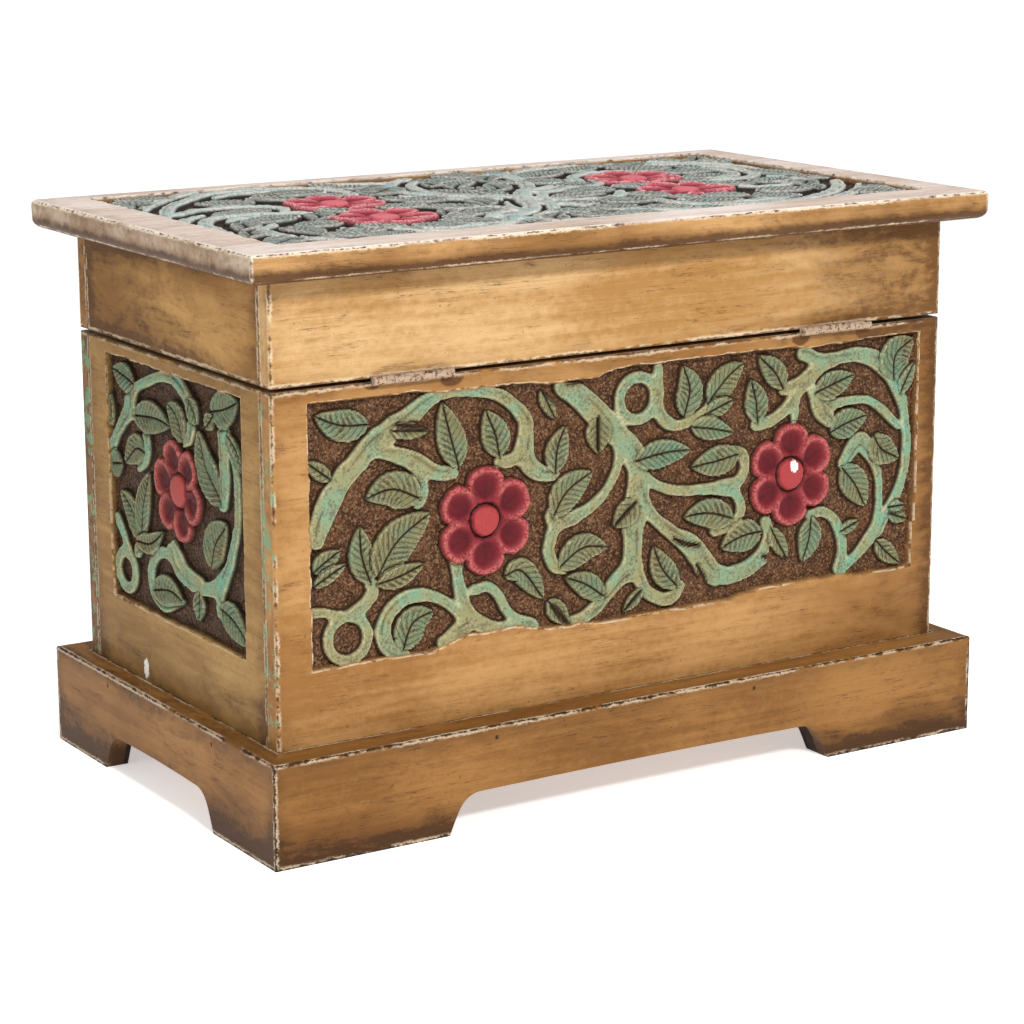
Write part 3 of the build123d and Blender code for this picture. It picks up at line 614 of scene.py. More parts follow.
topLeaves = [
    (15, 0.4, (58, -68), (78, -70), (98, -68)), (16, 0.4, (106, -46), (116, -53), (130, -60)),
    (12, 0.5, (128, -82), (140, -86), (156, -90)), (12, 0.4, (110, -24), (126, -22), (142, -20)),
    (13, 0.5, (112, 2), (128, 7), (144, 10)), (13, 0.4, (104, 30), (117, 31), (130, 34)),
    (12, 0.5, (118, 50), (111, 58), (100, 62)), (14, 0.5, (142, 60), (152, 68), (162, 78)),
    (13, 0.5, (94, 76), (106, 78), (120, 78)), (13, 0.4, (62, 66), (76, 62), (90, 58)),
    (14, 0.5, (44, 66), (58, 58), (68, 48)), (18, 0.5, (26, -66), (38, -55), (50, -44)),
    (14, 0.4, (24, -22), (36, -16), (50, -12)), (13, 0.5, (4, -20), (12, -31), (16, -46)),
    (12, 0.5, (30, 20), (40, 10), (52, 2)), (13, 0.4, (24, 26), (38, 34), (54, 38)),
    (14, 0.5, (-36, -80), (-25, -86), (-10, -92)), (15, 0.5, (-44, -62), (-60, -70), (-76, -74)),
    (13, 0.5, (-74, -72), (-86, -78), (-100, -82)), (14, 0.4, (-100, -72), (-114, -76), (-130, -86)),
    (14, 0.4, (-56, -38), (-45, -45), (-30, -48)), (13, 0.4, (-62, -28), (-50, -25), (-36, -28)),
    (14, 0.4, (-58, -4), (-45, -5), (-28, -2)), (15, 0.5, (-100, -60), (-115, -62), (-130, -60)),
    (13, 0.4, (-112, -46), (-125, -42), (-140, -38)), (13, 0.5, (-108, -22), (-120, -20), (-136, -22)),
    (13, 0.5, (-126, 6), (-138, 10), (-150, 6)), (14, 0.4, (-106, 40), (-118, 42), (-134, 46)),
    (15, 0.5, (-56, 54), (-70, 60), (-84, 62)), (14, 0.5, (-92, 52), (-102, 60), (-114, 62)),
    (12, 0.5, (-152, -30), (-158, -14), (-162, 4)), (14, 0.5, (-140, 66), (-152, 70), (-164, 78)),
    (14, 0.5, (-12, 42), (-20, 54), (-34, 58)), (15, 0.5, (-26, 28), (-40, 36), (-56, 38)),
    (12, 0.5, (8, 60), (2, 68), (-12, 76)), (12, 0.5, (68, -6), (56, -2), (44, 0)),
    (12, 0.5, (158, -60), (152, -72), (160, -84)), (10, 0.5, (-84, -6), (-72, -8), (-60, -12)),
]


# a thinner scroll beside another one, over part of its length
def echoOf(points, away, first, last):
    line = threaded(points)[0]
    line = line[int(first * len(line)): int(last * len(line)): 5]
    ahead = np.gradient(line[:, :2], axis=0)
    ahead /= np.hypot(ahead[:, 0], ahead[:, 1])[:, None]
    swell = np.sin(pi * np.linspace(0.08, 0.95, len(line)))
    return [
        (x - dy * away, y + dx * away, 1.5 + 3.6 * wide)
        for (x, y), (dx, dy), wide in zip(line[:, :2], ahead, swell)
    ]


# leaves laid one by one in the emptiest places of the ground, each turned to where there is most room
def fillGround(panel, field, count, tone):
    left, right, bottom, top = field
    xs, ys = np.arange(left + 2, right - 1, 3.0), np.arange(bottom + 2, top - 1, 3.0)
    x, y = np.meshgrid(xs, ys, indexing="ij")
    sides = np.minimum(np.minimum(x - left, right - x), np.minimum(y - bottom, top - y)) + 2
    columns, rows = np.searchsorted(panel["uLines"], xs), np.searchsorted(panel["vLines"], ys)
    angles = np.radians(np.arange(0, 360, 20))
    for turn in range(count):
        taken = panel["height"][np.ix_(columns, rows)] > 0.6
        fullX, fullY = x[taken], y[taken]
        openX, openY = x[~taken], y[~taken]
        free = np.sqrt(((openX[:, None] - fullX) ** 2 + (openY[:, None] - fullY) ** 2).min(1))
        free = np.minimum(free, sides[~taken])
        k = free.argmax()
        room = free[k]
        tipX, tipY = openX[k] + 9 * np.cos(angles), openY[k] + 9 * np.sin(angles)
        near = np.sqrt(((tipX[:, None] - fullX) ** 2 + (tipY[:, None] - fullY) ** 2).min(1))
        inside = (tipX > left) & (tipX < right) & (tipY > bottom) & (tipY < top)
        angle = angles[(near * inside).argmax()]
        ahead, aside = (cos(angle), sin(angle)), (-sin(angle), cos(angle))
        long, bend = min(room * 1.35, 15.0), 0.22 * (-1) ** turn
        points = [(openX[k] + ahead[0] * s + aside[0] * b, openY[k] + ahead[1] * s + aside[1] * b)
                  for s, b in ((-long, 0), (0, bend * long), (long, 0))]
        carveLeaf(panel, points, min(room * 1.5, 13.0), tone, slit=0.5)


def carveTop(panel):
    for tone, *points in topStems:
        carveStem(panel, points, tone)
        if len(points) > 6:
            carveStem(panel, echoOf(points, 9.5, 0.10, 0.62), tone)
            carveStem(panel, echoOf(points, -9.5, 0.35, 0.90), tone)
    raiseStalks(panel)
    for width, tone, *points in topLeaves:
        carveLeaf(panel, points, width * 1.2, tone, slit=0.5)
    for x, y, turn in ((76.5, -27.5, 80), (81, 25, 95), (-88, -33, 85), (-83, 17, 100)):
        carveFlower(panel, x, y, 6.6, turn, 23.5, 0)
    fillGround(panel, (-167, 161.5, -94, 83), 46, 0.4)


# knocks and dents along the slab's edges
def slabDents(u, v, depth):
    knock = np.clip(wander(u + 3 * v, depth * 3 + 0 * u, 6.0, 61) * 2 - 0.9, 0, 1)
    return 0.30 * np.clip(wander(u + 2 * v, depth + 0 * u, 19.0, 60), 0, 1) + 0.35 * knock


# The slab's edge: a round of 2 mm above, a flat, and a round of 4.5 mm below
def slabEdge(upper=2, flatEnd=8.2, lower=4.5):
    turns = np.radians((18, 36, 54, 72, 90))
    above = [(upper - upper * sin(a), upper - upper * cos(a)) for a in turns]
    below = [(lower - lower * cos(a), flatEnd + lower * sin(a)) for a in turns]
    return [(upper, 0)] + above + [(0, 3.6), (0, 5.2), (0, 6.8), (0, flatEnd)] + below


slab = dict(
    plainBoard, halfWidth=187.5, low=-107.5, high=107.5, field=(-169, 163.5, -96, 85), depth=3.5, step=0.95,
    corner=1.3, edgeLines=(0.4, 0.8, 1.2, 2.0), rows=slabEdge(), dents=slabDents,
)
boards["slab"] = carvedBoard("carved_slab", ((0, 0, 253.1), (1, 0, 0), (0, 1, 0), (0, 0, 1)), slab, carveTop)
for key, body, node in (
    ("back", "chest", "back_board"), ("front", "chest", "front_board"), ("right", "chest", "right_end_board"),
    ("left", "chest", "left_end_board"), ("slab", "lid", "lid_slab"),
):
    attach(boards[key], body)
    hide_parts(node)
print("boards done")


# Helpers for shader nodes: the tree is that of the first socket among the values
def treeOf(*values):
    return next(value.id_data for value in values if isinstance(value, bpy.types.NodeSocket))


def wire(tree, item, sockets):
    for target, source in sockets.items():
        if isinstance(source, bpy.types.NodeSocket):
            tree.links.new(source, item.inputs[target])
        else:
            item.inputs[target].default_value = source
    return item.outputs


def put(tree, kind, sockets=None, **settings):
    item = tree.nodes.new(kind)
    for key, value in settings.items():
        setattr(item, key, value)
    return wire(tree, item, sockets or {})


def calc(operation, a, b=0.0, clamp=False):
    return put(treeOf(a, b), "ShaderNodeMath", {0: a, 1: b}, operation=operation, use_clamp=clamp)[0]


def plus(a, b, clamp=False):
    return calc("ADD", a, b, clamp)


def minus(a, b):
    return calc("SUBTRACT", a, b)


def times(a, b, clamp=False):
    return calc("MULTIPLY", a, b, clamp)


def larger(a, b, clamp=False):
    return calc("MAXIMUM", a, b, clamp)


def smaller(a, b):
    return calc("MINIMUM", a, b)


def offHalf(value):
    return calc("ABSOLUTE", minus(value, 0.5))


# The sum of values, each times its share
def weigh(*pairs):
    total = None
    for share, value in pairs:
        part = times(value, share)
        total = part if total is None else plus(total, part)
    return total


def vectorMath(operation, a, b=None):
    sockets = {0: a} if b is None else {0: a, 1: b}
    return put(treeOf(a), "ShaderNodeVectorMath", sockets, operation=operation)


def blend(factor, a, b):
    return put(treeOf(factor, a, b), "ShaderNodeMix", {0: factor, 6: a, 7: b}, data_type="RGBA")[2]


def fit(value, low, high, first=0.0, last=1.0):
    sockets = {0: value, 1: low, 2: high, 3: first, 4: last}
    return put(treeOf(value), "ShaderNodeMapRange", sockets, interpolation_type="SMOOTHSTEP")[0]


def noise(vector, scale, detail=3.0, roughness=0.55, distortion=0.0):
    sockets = {
        "Vector": vector, "Scale": scale, "Detail": detail, "Roughness": roughness, "Distortion": distortion,
    }
    return put(treeOf(vector), "ShaderNodeTexNoise", sockets)["Fac"]


def stretched(vector, scale, shift=(0, 0, 0)):
    return put(treeOf(vector), "ShaderNodeMapping", {"Vector": vector, "Location": shift, "Scale": scale})[0]


def separated(vector):
    return put(treeOf(vector), "ShaderNodeSeparateXYZ", {0: vector})


def send(value, target):
    value.id_data.links.new(value, target)


def rgb(r, g, b):
    linear = [(c / 255 / 12.92 if c <= 10 else ((c / 255 + 0.055) / 1.055) ** 2.4) for c in (r, g, b)]
    return (*linear, 1.0)


def newGroup(name, inputs, outputs):
    tree = bpy.data.node_groups.new(name, "ShaderNodeTree")
    for label, kind, value in inputs:
        socket = tree.interface.new_socket(label, in_out="INPUT", socket_type="NodeSocket" + kind)
        socket.default_value = value
    for label, kind in outputs:
        tree.interface.new_socket(label, in_out="OUTPUT", socket_type="NodeSocket" + kind)
    return tree, tree.nodes.new("NodeGroupInput").outputs, tree.nodes.new("NodeGroupOutput").inputs


# Cream paint under a brown glaze, wiped along the grain. The vector is in mm with the grain along X.
# Gap is the distance to the nearest edge: glaze stays there as a thin dark line beside rubbed pale spots.
agedPaint, given, out = newGroup(
    "agedPaint",
    [("Vector", "Vector", (0, 0, 0)), ("Pale", "Color", rgb(222, 190, 145)),
     ("Mid", "Color", rgb(190, 148, 96)), ("Dark", "Color", rgb(96, 62, 34)), ("Glaze", "Float", 0.5),
     ("Gap", "Float", 9.0), ("Dirt", "Float", 0.0), ("EdgeDark", "Float", 0.6), ("EdgePale", "Float", 0.6)],
    [("Color", "Color"), ("Roughness", "Float"), ("Height", "Float")],
)
grain, dark = given["Vector"], given["Dark"]
cloud = noise(stretched(grain, (0.012, 0.020, 0.020)), 1.0, 4.0, 0.55)
smear = noise(stretched(grain, (0.030, 0.085, 0.085)), 1.0, 5.0, 0.62, 0.9)
streaks = noise(stretched(grain, (0.010, 0.24, 0.24)), 1.0, 4.0, 0.6)
mottle = noise(stretched(grain, (0.24, 0.36, 0.36)), 1.0, 5.0, 0.68)
thin = noise(stretched(grain, (0.035, 1.4, 1.4)), 1.0, 3.0, 0.6)
grit = noise(stretched(grain, (1.3, 1.9, 1.9)), 1.0, 2.0, 0.5)
paleShare = fit(weigh((0.45, cloud), (0.30, streaks), (0.25, mottle)), 0.38, 0.62)
color = blend(paleShare, given["Mid"], given["Pale"])
# the glaze gathers where the smear noise, streaks, mottle and the input for grime and painted shade add up
heavy = weigh((0.40, smear), (0.25, streaks), (0.35, mottle), (0.34, given["Dirt"]))
start = minus(0.80, times(given["Glaze"], 0.28))
light = fit(heavy, minus(start, 0.07), plus(start, 0.13))
dense = fit(heavy, plus(start, 0.08), plus(start, 0.24))
color = blend(times(light, 0.62), color, blend(0.45, dark, given["Mid"]))
color = blend(times(dense, 0.72), color, dark)
color = blend(times(fit(thin, 0.58, 0.76), plus(0.12, times(given["Glaze"], 0.22))), color, dark)
# hair cracks along the grain, scrapes across it, and specks
figure = offHalf(noise(stretched(grain, (0.018, 0.30, 0.30), (7, 3, 5)), 1.0, 4.0, 0.65))
cracks = times(fit(figure, 0.013, 0.0), fit(smear, 0.46, 0.62, 0.0, 0.75))
cross = offHalf(noise(stretched(grain, (0.8, 0.05, 0.05), (1, 9, 2)), 1.0, 3.0, 0.6))
scrapes = times(fit(cross, 0.016, 0.0), fit(mottle, 0.50, 0.68, 0.0, 0.32))
color = blend(larger(cracks, scrapes), color, dark)
color = blend(times(fit(noise(grain, 0.5, 2.0, 0.6), 0.70, 0.76), 0.55), color, dark)
# edges: pale where rubbed, and a dark line in what is left
gap = plus(given["Gap"], weigh((3.4, minus(mottle, 0.5)), (1.2, minus(grit, 0.5))))
palePart = times(fit(gap, 2.1, 1.1), fit(weigh((0.6, smear), (0.4, mottle)), 0.44, 0.54))
color = blend(times(palePart, given["EdgePale"]), color, blend(0.55, given["Pale"], rgb(236, 222, 196)))
darkPart = times(fit(gap, 0.95, 0.35), fit(smear, 0.34, 0.46))
color = blend(times(darkPart, given["EdgeDark"]), color, blend(0.35, rgb(30, 18, 10), dark))
send(color, out["Color"])
send(plus(0.44, times(mottle, 0.2)), out["Roughness"])
send(
    weigh((0.5, thin), (0.22, grit), (0.5, streaks), (-0.45, cracks), (0.3, mottle), (-0.3, darkPart)),
    out["Height"],
)

# Plain brown wood for insides and undersides, grain along X
bareWood, given, out = newGroup(
    "bareWood",
    [("Vector", "Vector", (0, 0, 0)), ("Light", "Color", rgb(172, 128, 82)),
     ("Dark", "Color", rgb(104, 68, 38))],
    [("Color", "Color"), ("Roughness", "Float"), ("Height", "Float")],
)
figure = noise(stretched(given["Vector"], (0.008, 0.11, 0.11)), 1.0, 4.0, 0.6, 0.6)
pores = noise(stretched(given["Vector"], (0.05, 2.2, 2.2)), 1.0, 2.0, 0.6)
tint = blend(fit(figure, 0.35, 0.66), given["Dark"], given["Light"])
tint = blend(times(fit(pores, 0.56, 0.72), 0.6), tint, given["Dark"])
send(tint, out["Color"])
send(plus(0.6, times(pores, 0.25)), out["Roughness"])
send(minus(times(figure, 0.3), times(pores, 0.5)), out["Height"])

# How near a point lies to an edge of a box, from the box's centre and half size in mm: Gap is the second
# smallest of its distances to the box's sides, and Edge runs from 1 at the edge to 0 at Reach
boxEdge, given, out = newGroup(
    "boxEdge",
    [("Vector", "Vector", (0, 0, 0)), ("Centre", "Vector", (0, 0, 0)), ("Half", "Vector", (1, 1, 1)),
     ("Reach", "Float", 3.0)],
    [("Edge", "Float"), ("Gap", "Float")],
)
local = vectorMath("ABSOLUTE", vectorMath("SUBTRACT", given["Vector"], given["Centre"])[0])[0]
sides = separated(vectorMath("SUBTRACT", given["Half"], local)[0])
lowest = smaller(sides[0], smaller(sides[1], sides[2]))
highest = larger(sides[0], larger(sides[1], sides[2]))
second = minus(minus(plus(sides[0], plus(sides[1], sides[2])), lowest), highest)
send(fit(second, 0.0, given["Reach"], 1.0, 0.0), out["Edge"])
send(second, out["Gap"])
print("groups done")


def newMaterial(name):
    material = bpy.data.materials.new(name)
    material.use_nodes = True
    tree = material.node_tree
    tree.nodes.clear()
    surface = tree.nodes.new("ShaderNodeBsdfPrincipled")
    output = tree.nodes.new("ShaderNodeOutputMaterial")
    tree.links.new(surface.outputs[0], output.inputs[0])
    inMm = vectorMath("MULTIPLY", put(tree, "ShaderNodeTexCoord")["Object"], (1000, 1000, 1000))[0]
    return material, surface.inputs, inMm


def useGroup(group, **sockets):
    tree = treeOf(*sockets.values())
    item = tree.nodes.new("ShaderNodeGroup")
    item.node_tree = group
    return wire(tree, item, sockets)


# The vector with its axes in another order, so that the grain runs along X, and moved to other wood
def turned(vector, order, shift):
    parts = separated(vector)
    axes = {i: parts["XYZ".index(axis)] for i, axis in enumerate(order)}
    swapped = put(treeOf(vector), "ShaderNodeCombineXYZ", axes)[0]
    return vectorMath("ADD", swapped, shift)[0]


def finishSurface(surface, color, roughness, height, strength, distance):
    send(color, surface["Base Color"])
    send(roughness, surface["Roughness"])
    sockets = {"Height": height, "Strength": strength, "Distance": distance}
    send(put(treeOf(height), "ShaderNodeBump", sockets)[0], surface["Normal"])
    surface["Specular IOR Level"].default_value = 0.16


# Distance from a centre, measured in the half sizes of an egg-shaped spot
def spot(inMm, centre, size):
    away = vectorMath("DIVIDE", vectorMath("SUBTRACT", inMm, centre)[0], size)[0]
    return vectorMath("LENGTH", away)["Value"]


# A stored attribute as its four columns
def stored(tree, label):
    layer = put(tree, "ShaderNodeAttribute", attribute_name=label)
    return [*put(tree, "ShaderNodeSeparateColor", {0: layer["Color"]}), layer["Alpha"]]


# Leaves and stems, green to turquoise in patches, thin enough for the brown to show through. The veins
# come from the distance along and across each leaf: a fraction that repeats with them slants the lines.
def leafPaint(inMm, settings, leaf, tone, crest, vein, fine, flat, dust):
    greenTone, blueTone, leafTone = (rgb(*shade) for shade in settings["greens"])
    patch = minus(noise(inMm, 0.07, 3.0, 0.6), 0.5)
    color = blend(plus(times(tone, 0.75), times(patch, 2.4), clamp=True), greenTone, blueTone)
    color = blend(times(leaf, 0.55), color, leafTone)
    rubOff = fit(weigh((0.6, dust), (0.4, flat)), 0.47, 0.60)
    color = blend(times(rubOff, 0.72), color, rgb(*settings["cuts"]))
    along, across = stored(treeOf(leaf), "carvedD")[:2]
    wobble = times(minus(fine, 0.5), 0.5)
    offRib = calc("ABSOLUTE", plus(across, wobble))
    perSpacing, perSlant = round(1 / carving["veinSpacing"], 4), round(1 / carving["veinSlant"], 3)
    slant = minus(times(along, perSpacing), times(offRib, perSlant))
    fromVein = offHalf(calc("FRACT", plus(slant, times(wobble, 0.3))))
    sideVein = times(fit(fromVein, 0.12, 0.03), fit(offRib, 0.2, 0.7))
    # dark in the vein, midrib and scored cuts: partly glaze, partly painted shade in the grooves
    leafVeins = times(larger(times(sideVein, 0.8), fit(offRib, 0.6, 0.2)), leaf)
    inCuts = larger(leafVeins, times(vein, 0.8), clamp=True)
    hatch = times(fit(fromVein, 0.30, 0.44), times(leaf, 0.55))
    # pale on the shoulders of the forms and between the veins: partly worn paint, partly painted highlight
    rimLight = fit(weigh((0.6, fine), (0.4, flat)), 0.38, 0.60)
    ridge = times(larger(crest, hatch), rimLight, clamp=True)
    color = blend(times(ridge, settings["ridge"]), color, rgb(*settings["ridgeColor"]))
    return blend(times(inCuts, 0.9), color, rgb(*settings["cuts"])), inCuts


def petalPaint(settings, dull, crest, deep, knob, fine, dust):
    main, faded, hollow, rim = (rgb(*shade) for shade in settings["reds"])
    color = blend(dull, main, faded)
    color = blend(fit(fine, 0.40, 0.72, 0.0, 0.7), color, hollow)
    color = blend(fit(dust, 0.52, 0.66, 0.0, 0.55), color, rgb(*settings["ground"][1]))
    # dark red in the petal hollows, the sunk middle and round the boss: partly paint, partly painted shade
    color = blend(times(deep, fit(fine, 0.36, 0.62, 1.0, 0.6), clamp=True), color, hollow)
    # pink on the raised lips: partly paint, partly painted highlight
    color = blend(times(times(crest, fit(fine, 0.36, 0.60)), 0.85), color, rim)
    return blend(times(knob, 0.7), color, rgb(*settings["knob"]))


def carvedMaterial(name, settings):
    material, surface, inMm = newMaterial(name)
    tree = material.node_tree
    green, leaf, tone, field = stored(tree, "carvedA")
    crest, vein, deep, knob = stored(tree, "carvedB")
    red, dull, lip, height = stored(tree, "carvedC")
    parts = separated(inMm)
    grain = turned(inMm, settings["grain"], settings["shift"])
    edge = useGroup(boxEdge, Vector=inMm, Centre=settings["centre"], Half=settings["half"], Reach=14.0)
    # glaze heavier within 14 mm of the board's edges: partly grime, partly painted shade at the edges
    shadeAndDirt = plus(settings["shadeAndDirt"](parts), times(edge["Edge"], 0.45))
    # darker spots where listed: the glaze is heavier there
    for centre, size in settings["smears"]:
        shadeAndDirt = plus(shadeAndDirt, fit(spot(inMm, centre, size), 1.0, 0.2, 0.0, 2.2))
    paint = useGroup(
        agedPaint, Vector=grain, Dirt=shadeAndDirt, Glaze=settings["glaze"],
        Pale=settings["pale"](parts), Mid=settings["mid"](parts), Dark=settings["dark"],
        Gap=smaller(edge["Gap"], fit(lip, 0.15, 0.75, 9.0, 0.9)),
        EdgeDark=settings["edgeDark"], EdgePale=settings["edgePale"],
    )
    flat = noise(inMm, 0.16, 4.0, 0.6)
    fine = noise(inMm, 0.9, 4.0, 0.65)
    dust = noise(inMm, 0.85, 4.0, 0.75)
    # the punched ground
    low, middle, high = (rgb(*shade) for shade in settings["ground"])
    dots = put(tree, "ShaderNodeTexVoronoi", {"Vector": inMm, "Scale": 0.95, "Randomness": 1.0})["Distance"]
    stipple = fit(dots, 0.15, 0.60)
    ground = blend(times(stipple, fit(flat, 0.35, 0.65, 0.3, 1.0)), low, middle)
    ground = blend(fit(dust, 0.50, 0.62, 0.0, 0.85), ground, high)
    # one colour after another; the low feet of each form are darkened to the ground's darkest brown, partly
    # glaze left in the cuts and partly painted shade
    leafColor, inCuts = leafPaint(inMm, settings, leaf, tone, crest, vein, fine, flat, dust)
    forms = blend(green, ground, leafColor)
    forms = blend(red, forms, petalPaint(settings, dull, crest, deep, knob, fine, dust))
    spared = minus(1.0, times(red, fit(height, 0.2, 0.42)))
    # painted shade and glaze at the feet of the green and red forms
    stainAndShade = times(fit(fit(height, 0.35, 0.80), 0.0, 1.0, 0.92, 0.0), spared)
    stainAndShade = times(stainAndShade, fit(larger(green, red), 0.0, 0.12))
    color = blend(field, paint["Color"], blend(stainAndShade, forms, low))
    for centre, size, chipColor in settings["chips"]:
        far = plus(spot(inMm, centre, size), times(minus(fine, 0.5), 1.4))
        color = blend(fit(far, 1.05, 0.85), color, rgb(*chipColor))
    if settings["seam"]:
        axis, place = settings["seam"]
        byCorner = fit(calc("ABSOLUTE", parts[axis]), place - 1.1, place - 0.5)
        oldGreen = times(byCorner, fit(noise(inMm, 0.12, 4.0, 0.75), 0.53, 0.58))
        color = blend(times(oldGreen, 0.75), color, rgb(110, 150, 116))
    bare = settings["bare"](parts)
    color = blend(bare, color, useGroup(bareWood, Vector=grain)["Color"])
    rough = blend(field, paint["Roughness"], plus(0.45, times(fine, 0.25)))
    rough = plus(rough, times(bare, 0.12))
    punched = times(times(stipple, 1.2), minus(1.0, fit(height, 0.1, 0.5)))
    relief = minus(plus(times(fine, 0.8), punched), times(inCuts, 1.6))
    relief = plus(times(relief, field), times(paint["Height"], minus(1.0, field)))
    finishSurface(surface, color, rough, relief, 0.5, 0.0005)
    return material


def never(parts):
    return times(parts[0], 0.0)


def always(parts):
    return plus(never(parts), 1.0)


# A mask or a share that runs from first to last between two places along an axis
def rampOn(axis, low, high, first=0.0, last=1.0):
    return lambda parts: fit(parts[axis], low, high, first, last)


def oneTone(r, g, b):
    return lambda parts: rgb(r, g, b)


# One paint on the slab's top, others on its long edges and on its ends
def slabTone(top, back, end):
    def tone(parts):
        onEnd = fit(calc("ABSOLUTE", parts[0]), 186.0, 186.6)
        edge = blend(onEnd, rgb(*back), rgb(*end))
        return blend(fit(parts[2], 251.6, 252.8), edge, rgb(*top))
    return tone


# Paint of the carved boards: order of the axes for the grain, shift of the pattern, colours, wear, bare side
backPaint = {
    "grain": "XZY", "shift": (0, 0, 0), "dark": rgb(72, 40, 14), "glaze": 0.62,
    "pale": oneTone(180, 136, 84), "mid": oneTone(142, 98, 50),
    "centre": (0, 87.9, 109.75), "half": (172.5, 4.6, 84.75), "edgeDark": 0.75, "edgePale": 0.7,
    # painted shade: glaze laid heavier towards the -X end, the end farther from the key light
    "shadeAndDirt": rampOn(0, -40.0, -175.0, 0.0, 0.6), "bare": rampOn(1, 83.32, 83.30),
    # cuts: dark brown in the cuts, glaze with painted shade, also under rubbed paint; ridgeColor: worn paint
    # with painted highlight; third and fourth reds: painted shade in hollows, painted highlight on lips, over
    # the paint
    "ground": ((42, 22, 9), (94, 60, 36), (138, 106, 76)), "cuts": (50, 34, 18),
    "greens": ((136, 132, 92), (84, 156, 136), (106, 102, 68)), "ridge": 0.78, "ridgeColor": (192, 184, 142),
    "reds": ((126, 30, 42), (112, 40, 38), (72, 14, 20), (196, 108, 102)), "knob": (166, 60, 60),
    "seam": (0, 172.5), "chips": (((-91, 91.5, 134.0), (2.3, 4, 2.9), (236, 228, 226)),),
    # darker spots either side of each hinge at the top of the back wall, just under the lid joint
    "smears": (
        ((88, 92, 193), (7, 9, 5)), ((-93, 92, 193), (6, 9, 5)),
        ((-131, 92, 193), (8, 9, 6)), ((126, 92, 194), (5, 9, 3)),
    ),
}
frontPaint = dict(
    backPaint, shift=(400, 90, 33), centre=(0, -87.9, 109.75), chips=(), smears=(),
    # the same painted shade, mirrored: glaze heavier towards the +X end
    shadeAndDirt=rampOn(0, 60.0, 175.0, 0.0, 0.5), bare=rampOn(1, -83.32, -83.30),
)
rightPaint = dict(
    backPaint, grain="YZX", shift=(77, 300, 12), glaze=0.66,
    pale=oneTone(172, 136, 80), mid=oneTone(130, 94, 46), ground=((32, 15, 5), (70, 45, 28), (108, 82, 58)),
    centre=(167.9, 0, 109.75), half=(4.6, 83.3, 84.75), edgeDark=0.7, edgePale=0.5,
    # glaze heavier towards the bottom of the end walls
    shadeAndDirt=rampOn(2, 90.0, 40.0, 0.0, 0.7), bare=rampOn(0, 163.32, 163.30), seam=(1, 83.3), smears=(),
    chips=(((173, -33, 50.5), (6, 2.6, 4.6), (232, 226, 214)),),
    reds=((128, 44, 44), (112, 42, 38), (62, 18, 20), (190, 108, 98)), knob=(168, 70, 66),
)
leftPaint = dict(
    rightPaint, shift=(500, 20, 160), centre=(-167.9, 0, 109.75), chips=(), bare=rampOn(0, -163.32, -163.30),
)
slabPaint = dict(
    backPaint, grain="XYZ", shift=(10, 640, 5), chips=(), smears=(), seam=None,
    pale=slabTone((224, 210, 202), (196, 152, 100), (208, 188, 166)), dark=rgb(60, 32, 12),
    mid=slabTone((190, 168, 150), (138, 96, 50), (146, 116, 88)),
    ground=((22, 12, 7), (50, 33, 23), (84, 60, 46)),
    glaze=0.92, centre=(0, 0, 246.75), half=(187.5, 107.5, 6.35), edgeDark=0.85, edgePale=0.9,
    # glaze lighter on the slab's top and heavier down its edge
    shadeAndDirt=rampOn(2, 249.5, 241.5, -0.35, 0.65), bare=never, cuts=(40, 28, 20),
    greens=((178, 178, 168), (136, 172, 170), (112, 118, 108)), ridgeColor=(228, 222, 214), ridge=0.92,
    reds=((168, 50, 68), (160, 64, 62), (70, 12, 24), (236, 176, 176)), knob=(204, 104, 112),
)
paints = {"back": backPaint, "front": frontPaint, "right": rightPaint, "left": leftPaint, "slab": slabPaint}
for key, settings in paints.items():
    boards[key].data.materials.append(carvedMaterial("paint_" + key, settings))
print("carved paint done")


# Paint of the boards that keep their CAD shape
def plainMaterial(name, settings):
    material, surface, inMm = newMaterial(name)
    parts = separated(inMm)
    grain = turned(inMm, settings["grain"], settings["shift"])
    edge = useGroup(boxEdge, Vector=inMm, Centre=settings["centre"], Half=settings["half"], Reach=12.0)
    paint = useGroup(
        agedPaint, Vector=grain, Pale=settings["pale"], Mid=settings["mid"], Dark=settings["dark"],
        # glaze heavier within 12 mm of the edges: partly grime, partly painted shade at the edges
        Dirt=plus(settings["shadeAndDirt"](parts), times(edge["Edge"], 0.45)),
        Glaze=settings["glaze"], Gap=edge["Gap"],
        EdgeDark=settings["edgeDark"], EdgePale=settings["edgePale"],
    )
    wood = useGroup(bareWood, Vector=grain, Light=settings["bareLight"], Dark=settings["bareDark"])
    bare = settings["bare"](parts)
    color = blend(bare, paint["Color"], wood["Color"])
    rough = plus(paint["Roughness"], times(bare, 0.15))
    height = plus(paint["Height"], times(wood["Height"], bare))
    finishSurface(surface, color, rough, height, 0.5, 0.0005)
    return material


# The ledge on top of the plinth is painted though it lies inside the walls' line: only what is lower is bare
def bareBelowLedge(axis, low, high):
    return lambda parts: times(fit(parts[axis], low, high), fit(parts[2], 44.6, 44.2))


rimCommon = {
    "pale": rgb(204, 166, 116), "mid": rgb(164, 120, 66), "dark": rgb(80, 44, 12), "edgeDark": 0.75,
    "edgePale": 0.7, "bareLight": rgb(172, 128, 82), "bareDark": rgb(104, 68, 38),
}
rimLong = dict(rimCommon, grain="XZY", half=(172.5, 4.6, 22.05))
rimShort = dict(
    rimCommon, grain="YZX", half=(4.6, 83.3, 22.05), pale=rgb(172, 130, 76), mid=rgb(122, 84, 40),
)
